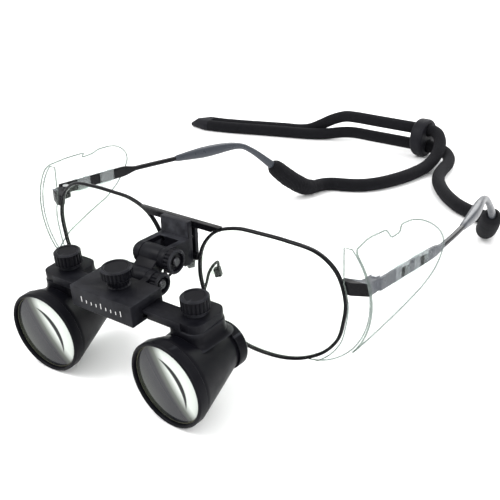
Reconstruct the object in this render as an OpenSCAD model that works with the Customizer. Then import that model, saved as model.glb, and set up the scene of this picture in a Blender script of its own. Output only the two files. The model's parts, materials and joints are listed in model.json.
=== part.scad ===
// Flip-up dental loupes on a metal spectacle frame, with clear side shields and a neck strap.
// Millimetres. +X is the wearer's left, +Y points back to the ears, +Z is up.
// The origin lies on the table under the middle of the object, strap cords left out.

/* [Spectacle front] */
// Distance between the centres of the two lenses
lens_spacing = 74; // [68:1:82]
// Width of one rim, outside to outside
rim_width = 55.2; // [44:0.1:68]
// Height of one rim, outside to outside
rim_height = 42.6; // [34:0.1:52]
// Thickness of the rim wire, seen from the front
rim_wire = 1.1; // [1:0.1:2.4]
// Depth of the rim, front to back
rim_depth = 1.6; // [1.5:0.1:3.2]
// Angle by which each lens wraps back
wrap = 2.5; // [0:0.5:6]
// Thickness of a lens
lens_thick = 1.6; // [1.2:0.1:2.8]
// Height of the top bar's centre above the lens centres
top_bar_z = 20.2; // [18:0.1:22]
// Height of the nose bridge's centre above the lens centres
nose_bridge_z = 8.6; // [6:0.1:11]
// Height of a bar between the rims
bar_height = 2.2; // [1.6:0.1:3]

/* [Temples] */
// How far the endpiece reaches out past the rim
endpiece_reach = 6.2; // [5:0.1:9]
// Height of the endpiece and its hinge
endpiece_height = 4.2; // [3.6:0.1:6]
// Height of the endpiece's middle above the lens centres
endpiece_z = 12.4; // [9:0.1:15]
// Hinge to ear bend
temple_length = 95; // [78:1:116]
// Thickness of the flat part of the temple
temple_thick = 1.2; // [0.9:0.1:1.8]
// Height of the flat part of the temple
temple_height = 4.2; // [3:0.1:5.4]
// Diameter of the temple's wire
temple_wire = 2; // [1.6:0.1:2.6]
// Radius of the hinge knuckles
knuckle_r = 1.6; // [1.4:0.1:2.2]
// Radius of the hinge screw's shank
hinge_screw_r = 0.6; // [0.4:0.05:0.8]

/* [Side shields] */
// Thickness of the clear plastic
shield_thick = 1.1; // [0.8:0.1:1.6]
// Radius of the shield's curved section
shield_r = 26; // [24:0.5:32]
// Length of the shield, front to back
shield_length = 46; // [38:1:52]

/* [Nose pads] */
// Length of a pad
pad_length = 13; // [10:0.5:16]
// Width of a pad
pad_width = 7.4; // [6:0.2:9]
// Radius of the pad arm's wire
pad_wire_r = 0.5; // [0.4:0.05:0.7]

/* [Loupe hinge] */
// Radius of both hinge pins
pin_r = 1.5; // [1.2:0.1:2]
// Half the width of the link
link_half = 3.9; // [3:0.1:4.6]
// Thickness of each lug outside the link
lug_thick = 2.2; // [1.6:0.1:2.8]
// Radius of the rounded lugs and link ends
lug_r = 3.6; // [3.2:0.1:4]
// Radius of the flip hinge's knob
flip_knob_r = 4.1; // [3.5:0.1:5]
// Radius of the tilt hinge's knob
tilt_knob_r = 3.7; // [3:0.1:4.2]
// Length of both hinge knobs
hinge_knob_length = 3; // [2.4:0.1:5]

/* [Loupe block] */
// Width of the block
block_width = 26; // [22:0.5:32]
// Depth of the block, front to back
block_depth = 13.5; // [12.6:0.1:15]
// Height of the block
block_height = 7.1; // [6.8:0.1:9]
// Angle by which the loupes point down
declination = 4.5; // [0:0.5:12]
// Thickness of an arm where it leaves the block
arm_thick = 2.6; // [2:0.1:3]
// Width of an arm's bar, front to back
arm_width = 7.2; // [6:0.1:8]
// Radius of the centre knob
centre_knob_r = 5; // [4:0.1:6]
// Radius of a barrel knob
barrel_knob_r = 4.5; // [3.6:0.1:5.4]

/* [Barrels] */
// Distance between the two barrel pivots
barrel_spacing = 54.8; // [52:0.2:64]
// Radius of the front bezel
bezel_r = 14.2; // [11.8:0.1:17.1]
// Length of a barrel, bezel to eyepiece
barrel_length = 28; // [24:0.5:34]
// Radius of the eyepiece ring
eyepiece_r = 7.9; // [7:0.1:10]
// Wall of the barrel housing
barrel_wall = 1.2; // [1:0.1:1.6]
// Angle by which each barrel turns in towards the work
convergence = 3; // [0:0.5:5]

/* [Strap] */
// Diameter of the strap's cord
cord_d = 6.4; // [5:0.2:7]
// Diameter of the slider disc
slider_d = 20.5; // [18:0.5:26]
// Thickness of the slider disc
slider_thick = 7; // [5:0.5:9]

/* [Hidden] */
$fn = 64;
black = [0.06, 0.06, 0.07];
fit = 0.05;

// Outline of the left rim round its lens centre, outwards and up, for a rim 55.2 wide and 42.6 high
rim_points = [[24.6, 0], [25.2, 8], [22, 16.6], [15, 21.6], [5, 22.8], [-5, 23], [-14.5, 22.6],
    [-23, 19.4], [-28.6, 12.4], [-30, 3], [-27.6, -6], [-22, -13.6], [-13, -18.6], [-2, -19.6],
    [8, -17.8], [17, -13], [22.6, -6.6]];
rim_scale = [rim_width / 55.2, rim_height / 42.6];
rim_outline = closed_curve([for (p = rim_points) [p[0] * rim_scale[0], p[1] * rim_scale[1]]], 4);
groove_width = 0.8;
groove_depth = 0.4;
rim_out_x = lens_spacing / 2 + 25.2 * rim_scale[0] * cos(wrap);
rim_in_x = lens_spacing / 2 - 30 * rim_scale[0] * cos(wrap);
rim_in_y = -30 * rim_scale[0] * sin(wrap);

// Hinge between endpiece and temple
end_x = rim_out_x + endpiece_reach;
hinge_x = end_x - 0.2 - knuckle_r + 0.3;
hinge_y = 8.4;
knuckle_gap = 0.1;
knuckle_third = (endpiece_height - 2 * knuckle_gap) / 3;

// Temple: the flat part, then a wire that follows these points
flat_x = hinge_x + knuckle_r + 0.2;
flat_mid = flat_x + temple_thick / 2;
flat_end = hinge_y + temple_length * 0.42;
drop = 4.3;
function temple_z(y) = endpiece_z + 0.5 - (y - hinge_y) * tan(drop);
bend_y = hinge_y + temple_length;
wire_points = [[flat_mid, flat_end - 6, temple_z(flat_end - 6)],
    [flat_mid - 0.3, flat_end, temple_z(flat_end)],
    [flat_mid - 2.2, hinge_y + temple_length * 0.59, 8.8],
    [flat_mid - 5.2, hinge_y + temple_length * 0.79, 7.7],
    [flat_mid - 9.6, bend_y - 1, 6.6], [flat_mid - 11.3, bend_y + 8.5, 2.2],
    [flat_mid - 14, bend_y + 20.6, -7.8], [flat_mid - 18, bend_y + 28.2, -15.6],
    [flat_mid - 21.2, bend_y + 34.2, -20.5], [flat_mid - 22.8, bend_y + 38, -22.5],
    [flat_mid - 23.7, bend_y + 41.8, -23.2]];
wire_path = open_curve(wire_points, 4);
tip_first = 9;
tip_last = 24;
sleeve_last = len(wire_path) - 1;
wire_last = sleeve_last - 5;
tip_radii = [1.3, 1.7, 2.1, 2.45, 2.5, 2.3, 1.95, 1.6, 1.4, 1.35, 1.35, 1.4, 1.5, 1.65, 1.8, 1.95];
sleeve_radii = [3.3, 3.9, 4.2, 4.3, 4.3, 4.3, 4.3, 4.3, 4.2, 4.2, 4.1, 4, 3.9, 3.8, 3.7, 3.5, 3.3];

// Shield: its inner surface just clears the top outer edge of the temple
shield_z = endpiece_z - 3.6;
shield_x = flat_x + temple_thick + 0.15
    - sqrt((shield_r - shield_thick) ^ 2 - (temple_z(hinge_y - 1) + temple_height / 2 - shield_z) ^ 2);
slot_y = [hinge_y + 10.4, hinge_y + 22.6];
slot_half = [2, 2.4];
flange_gap = 1;
flange_x = rim_out_x - 0.8;

// Bars and clamp between the rims
bar_y = rim_in_y;
bar_depth = 2;
plate_thick = 2;
clamp_plate_thick = 1.4;
plate_gap = 0.1;
plate_front = bar_y - bar_depth / 2 - plate_gap - plate_thick;
plate_back = bar_y + bar_depth / 2 + plate_gap;
plate_half = 5.8;
plate_low = nose_bridge_z - bar_height / 2 - 0.6;
plate_high = top_bar_z + bar_height / 2;
clamp_high = plate_high - 1;
clamp_screw_z = (top_bar_z + nose_bridge_z) / 2;
clamp_screw_x = 3.2;
clamp_screw_r = 0.9;

// Hinge axes of the loupe mount, as y and z from the lens centres
flip_axis = [-13.8, 12];
block_corner = [-38.8, 8];
tilt_reach = 4.5;
tilt_local = [block_depth + tilt_reach, -2.5];
tilt_axis = block_corner + [tilt_local[0] * cos(declination) - tilt_local[1] * sin(declination),
    tilt_local[0] * sin(declination) + tilt_local[1] * cos(declination)];
lug_in = link_half + 0.15;
lug_out = lug_in + lug_thick;

// Block, arms and barrels in the block's own frame: y back from its front, z up from its top
arm_top = -3.4;
arm_front = 4.8;
channel_gap = 0.08;
half_bar = (arm_thick - channel_gap) / 2;
bar_reach = block_width / 2 - 2.5;
step_x = block_width / 2 + 1.5;
shaft_r = 1.5;
centre_neck = 2.6;
centre_knob_length = 3.6;
barrel_neck = 1.2;
barrel_knob_length = 4.6;
pivot_x = barrel_spacing / 2;
pivot_y = 12.4;
boss_half = [6.1, 7.2];
boss_corner = 3.6;
slot_out = 8;
slot_in = 1;
barrel_front = -3.6;
barrel_axis = arm_top - arm_thick - 0.5 - bezel_r;
bezel_length = 3.4;
cone_end_r = eyepiece_r - 0.7;
ring_length = 3.2;
cone_length = barrel_length - ring_length;
glass_r = bezel_r - 1.25;
seat_start = 2;
seat_end = bezel_length + 1.4;
objective_start = seat_start + 0.1;
objective_edge = seat_end - objective_start - 0.8;
objective_curve = 60;
objective_sag = objective_curve - sqrt(objective_curve ^ 2 - glass_r ^ 2);
eye_glass_r = eyepiece_r - 1.6;
eye_thick = 1.3;

// Height of the lens centres over the table, with the bezels resting on it
lens_z = bezel_r * cos(declination)
    - (block_corner[1] + barrel_front * sin(declination) + barrel_axis * cos(declination));

// Distance of the lens centres from the middle between the bezels' fronts and the ends of the sleeves
front_y = block_corner[0] + barrel_front * cos(declination) - barrel_axis * sin(declination)
    - (bezel_r - 0.5) * sqrt(1 - (cos(declination) * cos(convergence)) ^ 2);
back_y = wire_points[len(wire_points) - 1][1] + 0.9;
lens_y = -(front_y + back_y) / 2;

// Strap routes on the table, in the object's own frame
leg_right_points = [[-45.3, 94.6, 3.6], [-44.8, 98, 3.3], [-43, 101.3, 3.2], [-39.8, 103.7, 3.2],
    [-35.4, 105.4, 3.2], [-31, 107.4, 3.2], [-27, 110.3, 3.2], [-23.6, 114.4, 3.2], [-20.7, 119.6, 3.2],
    [-18.2, 126, 3.2], [-16.2, 133, 3.2], [-14.8, 141, 3.2], [-13.8, 149, 3.5], [-13.2, 157, 5.2],
    [-13.6, 164.2, 8.2], [-15.6, 170.4, 11.4], [-19, 174.8, 13.8], [-22.2, 176.7, 14.7], [-25.1, 177, 14.9]];
leg_left_points = [[45.3, 94.6, 3.6], [44.7, 98.2, 3.3], [42.4, 101.9, 3.2], [38.6, 104.6, 3.2],
    [33.8, 106.4, 3.2], [28.7, 108.4, 3.2], [23.5, 111.3, 3.2], [18.3, 115.3, 3.2],
    [12.5, 120.8, 3.2], [6.4, 128, 3.2], [1, 136, 3.2], [-3, 145, 3.2], [-5.3, 154, 3.2],
    [-6.6, 162, 3.4], [-9.6, 169.6, 4], [-14.6, 174.8, 5], [-20.4, 176.8, 5.6], [-25.3, 177, 5.7]];
tail_upper_points = [[-25.5, 177, 14.9], [-36, 177, 14.9], [-48, 177, 14.9], [-60, 177, 14.9],
    [-72, 177, 14.9], [-80, 177.6, 14], [-88, 177, 11], [-95, 175.6, 7.2], [-101, 173.8, 4.3],
    [-107, 171.7, 3.2], [-115, 169.2, 3.2], [-125, 165.7, 3.2], [-135, 162, 3.2],
    [-145, 158.6, 3.2], [-154, 156, 3.2], [-159.6, 155, 3.2]];
tail_lower_points = [[-25.5, 177, 5.7], [-36, 177, 5.7], [-48, 177, 5.7], [-60, 177, 5.7],
    [-72, 177, 5.7], [-80, 176.2, 4.9], [-88, 172.8, 3.6], [-95, 169, 3.2], [-101, 166.4, 3.2],
    [-107, 164.4, 3.2], [-115, 162, 3.2], [-125, 158.6, 3.2], [-135, 155, 3.2],
    [-145, 151.6, 3.2], [-154, 149.2, 3.2], [-158.5, 148.4, 3.2]];
slider_place = [-25.5 - slider_thick / 2, 177, 10.3];
slider_hole = 4.6;

// Curves and tubes
function spline(a, b, c, d, t) =
    0.5 * (2 * b + (c - a) * t + (2 * a - 5 * b + 4 * c - d) * t * t + (3 * b - a - 3 * c + d) * t * t * t);
function closed_curve(p, n) = let (m = len(p))
    [for (i = [0:m - 1]) for (j = [0:n - 1])
        spline(p[(i + m - 1) % m], p[i], p[(i + 1) % m], p[(i + 2) % m], j / n)];
function open_curve(p, n) = let (m = len(p))
    [for (i = [0:m - 2]) for (j = [0:i < m - 2 ? n - 1 : n])
        spline(p[max(i - 1, 0)], p[i], p[i + 1], p[min(i + 2, m - 1)], j / n)];
function inset(c, d) = let (m = len(c))
    [for (i = [0:m - 1]) let (t = c[(i + 1) % m] - c[(i + m - 1) % m]) c[i] + d / norm(t) * [-t[1], t[0]]];
function unit(v) = v / norm(v);
function heading(p, i) = unit(p[min(i + 1, len(p) - 1)] - p[max(i - 1, 0)]);
function ring_at(c, t, r, n, up) = let (s = unit(cross(t, up)), u = cross(s, t))
    [for (k = [0:n - 1]) c + r * (cos(360 * k / n) * s + sin(360 * k / n) * u)];

// A tube along the points from first to last of a path, with one radius a point
module tube(path, radii, first, last, n = 12, up = [0, 0, 1]) {
    m = last - first + 1;
    points = [for (i = [0:m - 1]) each ring_at(path[first + i], heading(path, first + i), radii[i], n, up)];
    sides = [for (i = [0:m - 2]) for (k = [0:n - 1])
        [i * n + k, i * n + (k + 1) % n, (i + 1) * n + (k + 1) % n, (i + 1) * n + k]];
    front = [for (k = [n - 1:-1:0]) k];
    back = [for (k = [0:n - 1]) (m - 1) * n + k];
    polyhedron(points, concat(sides, [front, back]), convexity = 6);
}

module even_tube(path, r, first, last, n = 12, up = [0, 0, 1]) {
    tube(path, [for (i = [first:last]) r], first, last, n, up);
}

// A tube with a bore that starts at the first point and ends, open or blind, at the point bore_last
module bored_tube(path, radii, bore, first, last, bore_last, n = 12, up = [0, 0, 1]) {
    m = last - first + 1;
    b = bore_last - first + 1;
    skin = [for (i = [0:m - 1]) each ring_at(path[first + i], heading(path, first + i), radii[i], n, up)];
    hole = [for (i = [0:b - 1]) each ring_at(path[first + i], heading(path, first + i), bore, n, up)];
    h = m * n;
    outside = [for (i = [0:m - 2]) for (k = [0:n - 1])
        [i * n + k, i * n + (k + 1) % n, (i + 1) * n + (k + 1) % n, (i + 1) * n + k]];
    inside = [for (i = [0:b - 2]) for (k = [0:n - 1])
        [h + i * n + k, h + (i + 1) * n + k, h + (i + 1) * n + (k + 1) % n, h + i * n + (k + 1) % n]];
    front = [for (k = [0:n - 1]) [(k + 1) % n, k, h + k, h + (k + 1) % n]];
    skin_end = (m - 1) * n;
    hole_end = h + (b - 1) * n;
    open_back = [for (k = [0:n - 1])
        [skin_end + k, skin_end + (k + 1) % n, hole_end + (k + 1) % n, hole_end + k]];
    blind_back = [[for (k = [0:n - 1]) skin_end + k], [for (k = [n - 1:-1:0]) hole_end + k]];
    polyhedron(concat(skin, hole), concat(outside, inside, front, b == m ? open_back : blind_back),
        convexity = 8);
}

// Places
module worn() {
    translate([0, lens_y, lens_z]) children();
}

module loupe_frame() {
    worn() translate([0, block_corner[0], block_corner[1]]) rotate([declination, 0, 0]) children();
}

module side(name) {
    if (name == "left") children();
    else mirror([1, 0, 0]) children();
}

module at_lens() {
    translate([lens_spacing / 2, 0, 0]) rotate([90, 0, wrap]) children();
}

module slab(thick, in) {
    at_lens() linear_extrude(thick, center = true) polygon(inset(rim_outline, in));
}

module rod(r, a, b) {
    translate([a, 0, 0]) rotate([0, 90, 0]) cylinder(h = b - a, r = r);
}

module box(low, high) {
    translate(low) cube(high - low);
}

// Spectacle front
module rim(name) {
    color(black) worn() side(name) difference() {
        slab(rim_depth, 0);
        slab(rim_depth + 1, rim_wire);
        slab(groove_width, rim_wire - groove_depth);
    }
}

module rim_left() { rim("left"); }
module rim_right() { rim("right"); }

module lens(name) {
    color([0.9, 0.96, 0.93, 0.35]) worn() side(name) union() {
        slab(lens_thick, rim_wire + fit);
        slab(groove_width - 2 * fit, rim_wire - groove_depth + fit);
    }
}

module lens_left() { lens("left"); }
module lens_right() { lens("right"); }

module between_rims(z, half) {
    size = [2 * half, bar_depth, bar_height];
    difference() {
        translate([0, bar_y, z]) cube(size, center = true);
        for (name = ["left", "right"]) side(name) slab(rim_depth + 4, 0);
    }
}

module top_bar() {
    color(black) worn() between_rims(top_bar_z, lens_spacing / 2 - 20 * rim_scale[0]);
}

module nose_bridge() {
    color(black) worn() between_rims(nose_bridge_z, rim_in_x + 2);
}

module endpiece(name) {
    low = endpiece_z - endpiece_height / 2;
    color(black) worn() side(name) difference() {
        union() {
            translate([0, 0, low]) linear_extrude(endpiece_height)
                polygon([[rim_out_x - 2.2, 0.4], [rim_out_x + 1.4, 0.6], [end_x, 3.2], [end_x, hinge_y - 2],
                    [end_x - 2.8, hinge_y - 2], [end_x - 3.6, 4], [rim_out_x - 2.2, 2.4]]);
            for (z = [low, low + 2 * (knuckle_third + knuckle_gap)]) translate([0, 0, z]) {
                translate([hinge_x, hinge_y, 0]) cylinder(h = knuckle_third, r = knuckle_r);
                box([hinge_x - knuckle_r, hinge_y - 2.6, 0], [hinge_x + knuckle_r, hinge_y, knuckle_third]);
            }
        }
        slab(rim_depth + 4, 0);
        translate([hinge_x, hinge_y, low - 1]) cylinder(h = endpiece_height + 2, r = hinge_screw_r + fit);
        translate([rim_out_x + 1.9, 2.8, low - 1]) cylinder(h = 3.2, r = 0.5 + fit);
    }
}

module endpiece_left() { endpiece("left"); }
module endpiece_right() { endpiece("right"); }

module rim_screws() {
    low = endpiece_z - endpiece_height / 2;
    color("silver") worn() for (name = ["left", "right"]) side(name)
        translate([rim_out_x + 1.9, 2.8, low]) {
            cylinder(h = 2, r = 0.5);
            translate([0, 0, -0.5]) cylinder(h = 0.5, r = 0.9);
        }
}

module temple_screw(name) {
    low = endpiece_z - endpiece_height / 2;
    color("silver") worn() side(name) translate([hinge_x, hinge_y, low]) {
        cylinder(h = endpiece_height, r = hinge_screw_r);
        translate([0, 0, endpiece_height]) cylinder(h = 0.5, r = hinge_screw_r + 0.5);
    }
}

module temple_screw_left() { temple_screw("left"); }
module temple_screw_right() { temple_screw("right"); }

// Temples
module temple(name) {
    half = temple_height / 2;
    wire = temple_wire / 2;
    taper = flat_end - 8;
    color(black) worn() side(name) union() {
        difference() {
            union() {
                translate([hinge_x, hinge_y, endpiece_z - knuckle_third / 2])
                    cylinder(h = knuckle_third, r = knuckle_r);
                box([hinge_x, hinge_y, endpiece_z - knuckle_third / 2],
                    [flat_x + 0.2, hinge_y + 2.4, endpiece_z + knuckle_third / 2]);
            }
            translate([hinge_x, hinge_y, 0]) cylinder(h = 30, r = hinge_screw_r + fit);
        }
        translate([flat_x, 0, 0]) rotate([90, 0, 90]) linear_extrude(temple_thick)
            polygon([[hinge_y - 1, temple_z(hinge_y) - half], [taper, temple_z(taper) - half],
                [flat_end, temple_z(flat_end) - wire], [flat_end, temple_z(flat_end) + wire],
                [taper, temple_z(taper) + half], [hinge_y - 1, temple_z(hinge_y) + half]]);
        even_tube(wire_path, wire, 0, wire_last);
    }
}

module temple_left() { temple("left"); }
module temple_right() { temple("right"); }

module temple_tip(name) {
    color([0.45, 0.47, 0.5]) worn() side(name)
        bored_tube(wire_path, tip_radii, temple_wire / 2 + fit, tip_first, tip_last, tip_last);
}

module temple_tip_left() { temple_tip("left"); }
module temple_tip_right() { temple_tip("right"); }

module strap_sleeve(name) {
    color([0.03, 0.03, 0.03]) worn() side(name)
        bored_tube(wire_path, sleeve_radii, temple_wire / 2 + fit, tip_last, sleeve_last, wire_last + 1);
}

module strap_sleeve_left() { strap_sleeve("left"); }
module strap_sleeve_right() { strap_sleeve("right"); }

// Side shields: a curved clear panel, a front flange and two loops that hold the temple
module shield_side_outline() {
    s = shield_length / 46;
    polygon([[-0.6, -8.5], [8 * s, -4.5], [22 * s, -0.6], [32 * s, 2], [39 * s, 5.6], [43.5 * s, 10],
        [45.4 * s, 14], [44 * s, 17.4], [40.8 * s, 20.4], [36.7 * s, 22.8], [31.9 * s, 24.3],
        [25.5 * s, 24.8], [23 * s, 23.4], [17.6 * s, 23.4], [17.6 * s, 25.6], [8 * s, 26.2],
        [-0.6, 25.4]]);
}

// A cylinder along Y round the middle of the shield's curve
module shield_round(r, start, h) {
    translate([shield_x, start, shield_z]) rotate([-90, 0, 0]) cylinder(h = h, r = r);
}

module side_shield(name) {
    color([0.92, 0.98, 0.94, 0.3]) worn() side(name) difference() {
        union() {
            intersection() {
                difference() {
                    shield_round(shield_r, -2, 60);
                    shield_round(shield_r - shield_thick, -3, 62);
                }
                translate([rim_out_x - 2.8, 0, 0]) rotate([90, 0, 90]) linear_extrude(20)
                    shield_side_outline();
            }
            intersection() {
                difference() {
                    shield_round(shield_r, -0.6, shield_thick);
                    slab(20, -flange_gap);
                }
                union() {
                    box([flange_x, -1, 0], [flange_x + 14, 2, shield_z + 16.6]);
                    box([lens_spacing / 2 + 8, -1, shield_z - shield_r], [flange_x + 14, 2, 0.1]);
                }
            }
            for (i = [0, 1]) box([flat_x - 1.1, slot_y[i] - slot_half[i] - 1, temple_z(slot_y[i]) - 3.9],
                [shield_x + shield_r - 0.6, slot_y[i] + slot_half[i] + 1, temple_z(slot_y[i]) + 3.9]);
        }
        for (i = [0, 1]) translate([flat_mid, slot_y[i], temple_z(slot_y[i])]) rotate([-drop, 0, 0])
            box([-temple_thick / 2 - 0.1, -6, -temple_height / 2 - 0.15],
                [temple_thick / 2 + 0.1, 6, temple_height / 2 + 0.15]);
        for (i = [0, 1]) translate([flat_mid, slot_y[i], temple_z(slot_y[i])]) rotate([-drop, 0, 0])
            box([0, -slot_half[i], -temple_height / 2 - 0.15], [6, slot_half[i], temple_height / 2 + 0.15]);
        box([flange_x - 1, -2, endpiece_z - endpiece_height / 2 - 2],
            [shield_x + shield_r - 1.6, 1.4, endpiece_z + endpiece_height / 2 + 1.8]);
    }
}

module side_shield_left() { side_shield("left"); }
module side_shield_right() { side_shield("right"); }

// Nose pads
pad_place = [rim_in_x - 0.9, 9.4, -1.4];
pad_splay = 24;
pad_flare = 14;
box_size = [2.2, 2.4, 3.2];

module at_pad() {
    translate(pad_place) rotate([0, 0, pad_splay]) rotate([0, -pad_flare, 0]) children();
}

module pad_arm(name) {
    foot = [rim_in_x + 1.1, rim_in_y + rim_depth / 2 + 0.4, -3.4];
    path = open_curve([foot, foot + [-0.5, 1.6, 1.4], foot + [-0.6, 3, 4.2], foot + [-0.6, 5.2, 6.1],
        pad_place + [0.7, -0.8, 4.2], pad_place + [0.2, 0, 1.3]], 3);
    color(black) worn() side(name) difference() {
        union() {
            even_tube(path, pad_wire_r, 0, len(path) - 1, 8, [1, 0, 0]);
            at_pad() box([-box_size[0] / 2, -box_size[1] / 2, -box_size[2] / 2], box_size / 2);
        }
        at_pad() box([-3, -0.75, -3], [0.75, 0.75, 0.95]);
        at_pad() rotate([90, 0, 0]) cylinder(h = 6, r = 0.4 + fit, center = true, $fn = 32);
        slab(rim_depth, 0);
    }
}

module pad_arm_left() { pad_arm("left"); }
module pad_arm_right() { pad_arm("right"); }

module pad_screws() {
    color("silver") worn() for (name = ["left", "right"]) side(name) at_pad() rotate([90, 0, 0]) {
        translate([0, 0, -box_size[1] / 2]) cylinder(h = box_size[1], r = 0.4, $fn = 32);
        translate([0, 0, box_size[1] / 2]) cylinder(h = 0.4, r = 0.75, $fn = 32);
    }
}

module nose_pad(name) {
    color([0.95, 0.97, 0.95, 0.4]) worn() side(name) at_pad() difference() {
        union() {
            translate([-2.8, 0, 0]) intersection() {
                scale([1, pad_width / pad_length, 1]) rotate([0, 90, 0])
                    cylinder(h = 2.2, r = pad_length / 2, center = true);
                translate([10.4, 0, 0]) sphere(r = 11.5, $fn = 96);
            }
            box([-2.2, -0.6, -0.6], [0, 0.6, 0.6]);
            rotate([90, 0, 0]) cylinder(h = 1.2, r = 0.65, center = true, $fn = 32);
        }
        rotate([90, 0, 0]) cylinder(h = 4, r = 0.4 + fit, center = true, $fn = 32);
    }
}

module nose_pad_left() { nose_pad("left"); }
module nose_pad_right() { nose_pad("right"); }

// Loupe mount
module at_axis(axis) {
    translate([0, axis[0], axis[1]]) children();
}

module mount_bracket() {
    color(black) worn() difference() {
        union() {
            box([-plate_half, plate_front, plate_low], [plate_half, plate_front + plate_thick, plate_high]);
            for (s = [-1, 1]) {
                at_axis(flip_axis) rod(lug_r, s < 0 ? -lug_out : lug_in, s < 0 ? -lug_in : lug_out);
                box([s < 0 ? -lug_out : lug_in, flip_axis[0], flip_axis[1] - lug_r],
                    [s < 0 ? -lug_in : lug_out, plate_front + 0.5, flip_axis[1] + lug_r]);
            }
            box([-lug_out, plate_front - 2.4, plate_low],
                [lug_out, plate_front + 0.5, flip_axis[1] + lug_r]);
        }
        at_axis(flip_axis) rod(pin_r + fit, -20, 20);
        for (x = [-clamp_screw_x, clamp_screw_x]) translate([x, 0, clamp_screw_z]) rotate([90, 0, 0])
            cylinder(h = 12, r = clamp_screw_r + fit);
    }
}

module clamp_plate() {
    color(black) worn() difference() {
        box([-plate_half + 0.6, plate_back, plate_low],
            [plate_half - 0.6, plate_back + clamp_plate_thick, clamp_high]);
        for (x = [-clamp_screw_x, clamp_screw_x]) translate([x, 6, clamp_screw_z]) rotate([90, 0, 0])
            cylinder(h = 12, r = clamp_screw_r + fit);
    }
}

module clamp_screws() {
    back = plate_back + clamp_plate_thick;
    color("silver") worn() for (x = [-clamp_screw_x, clamp_screw_x])
        translate([x, back, clamp_screw_z]) rotate([90, 0, 0]) {
            cylinder(h = back - plate_front, r = clamp_screw_r);
            translate([0, 0, -0.9]) cylinder(h = 0.9, r = clamp_screw_r + 0.8);
        }
}

module flip_link() {
    color(black) worn() difference() {
        union() {
            at_axis(flip_axis) rod(lug_r, -link_half, link_half);
            at_axis(tilt_axis) rod(lug_r, -link_half, link_half);
            hull() {
                at_axis(flip_axis) rod(2.4, -link_half, link_half, $fn = 32);
                at_axis(tilt_axis) rod(2.4, -link_half, link_half, $fn = 32);
            }
        }
        at_axis(flip_axis) rod(pin_r + fit, -20, 20);
        at_axis(tilt_axis) rod(pin_r + fit, -20, 20);
    }
}

module pin_with_head() {
    rod(pin_r, -lug_out - 0.1, lug_out + hinge_knob_length + 0.1);
    rod(pin_r + 1.3, -lug_out - 1.6, -lug_out - 0.1);
}

module flip_pin() {
    color("silver") worn() at_axis(flip_axis) pin_with_head();
}

module tilt_pin() {
    color("silver") worn() at_axis(tilt_axis) pin_with_head();
}

module hinge_knob(r) {
    difference() {
        rod(r, lug_out + 0.1, lug_out + 0.1 + hinge_knob_length);
        rod(pin_r + fit, 0, 20);
    }
}

module flip_knob() {
    color(black) worn() at_axis(flip_axis) hinge_knob(flip_knob_r);
}

module tilt_knob() {
    color(black) worn() at_axis(tilt_axis) hinge_knob(tilt_knob_r);
}

// Loupe block
module loupe_block() {
    color(black) loupe_frame() difference() {
        union() {
            box([-block_width / 2, 0, -block_height], [block_width / 2, block_depth, 0]);
            for (s = [-1, 1]) {
                at_axis(tilt_local) rod(lug_r, s < 0 ? -lug_out : lug_in, s < 0 ? -lug_in : lug_out);
                box([s < 0 ? -lug_out : lug_in, block_depth - 0.5, tilt_local[1] - lug_r],
                    [s < 0 ? -lug_in : lug_out, tilt_local[0], min(0, tilt_local[1] + lug_r)]);
            }
        }
        at_axis(tilt_local) rod(pin_r + fit, -20, 20);
        box([-30, arm_front - 0.1, arm_top - arm_thick - 0.1],
            [30, arm_front + arm_width + 0.1, arm_top + 0.1]);
        translate([0, arm_front + arm_width / 2, -block_height - 1])
            cylinder(h = block_height + 2, r = shaft_r + fit);
    }
}

module centre_knob() {
    color(black) loupe_frame() translate([0, arm_front + arm_width / 2, 0]) {
        translate([0, 0, centre_neck]) cylinder(h = centre_knob_length, r = centre_knob_r);
        translate([0, 0, 0.1]) cylinder(h = centre_neck, r = centre_knob_r - 1.6);
        translate([0, 0, -block_height + 0.3]) cylinder(h = block_height, r = shaft_r);
    }
}

// Arms: the left bar runs over the right bar inside the block
module arm(name) {
    over = name == "left";
    top = over ? arm_top : arm_top - arm_thick + half_bar;
    middle = arm_front + arm_width / 2;
    slot_r = shaft_r + 0.2;
    color(black) loupe_frame() side(name) difference() {
        union() {
            box([-bar_reach, arm_front, top - half_bar], [step_x + 1, arm_front + arm_width, top]);
            box([step_x, arm_front, arm_top - arm_thick], [pivot_x, arm_front + arm_width, arm_top]);
            translate([pivot_x, pivot_y, arm_top - arm_thick]) boss_shape(arm_thick);
        }
        hull() for (x = [-slot_out, slot_in]) translate([x, middle, -10]) cylinder(h = 10, r = slot_r);
        translate([pivot_x, pivot_y, -10]) cylinder(h = 10, r = shaft_r + fit);
    }
}

module boss_shape(h) {
    linear_extrude(h) difference() {
        square(2 * boss_half, center = true);
        for (x = [-1, 1], y = [-1, 1]) scale([x, y])
            translate(boss_half - [boss_corner, boss_corner]) difference() {
                square(boss_corner + 1);
                circle(r = boss_corner);
            }
    }
}

module arm_left() { arm("left"); }
module arm_right() { arm("right"); }

module barrel_knob(name) {
    color(black) loupe_frame() side(name) translate([pivot_x, pivot_y, 0]) {
        translate([0, 0, arm_top + barrel_neck]) cylinder(h = barrel_knob_length, r = barrel_knob_r);
        translate([0, 0, arm_top + 0.1]) cylinder(h = barrel_neck, r = barrel_knob_r - 0.8);
        translate([0, 0, arm_top - arm_thick - 2.4]) cylinder(h = arm_thick + 2.6, r = shaft_r);
    }
}

module barrel_knob_left() { barrel_knob("left"); }
module barrel_knob_right() { barrel_knob("right"); }

// Barrels: along their own axis from the bezel's front
module at_barrel(name) {
    loupe_frame() side(name) translate([pivot_x, pivot_y, 0]) rotate([0, 0, -convergence])
        translate([0, barrel_front - pivot_y, barrel_axis]) rotate([-90, 0, 0]) children();
}

module turned(points) {
    rotate_extrude() polygon(points);
}

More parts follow.
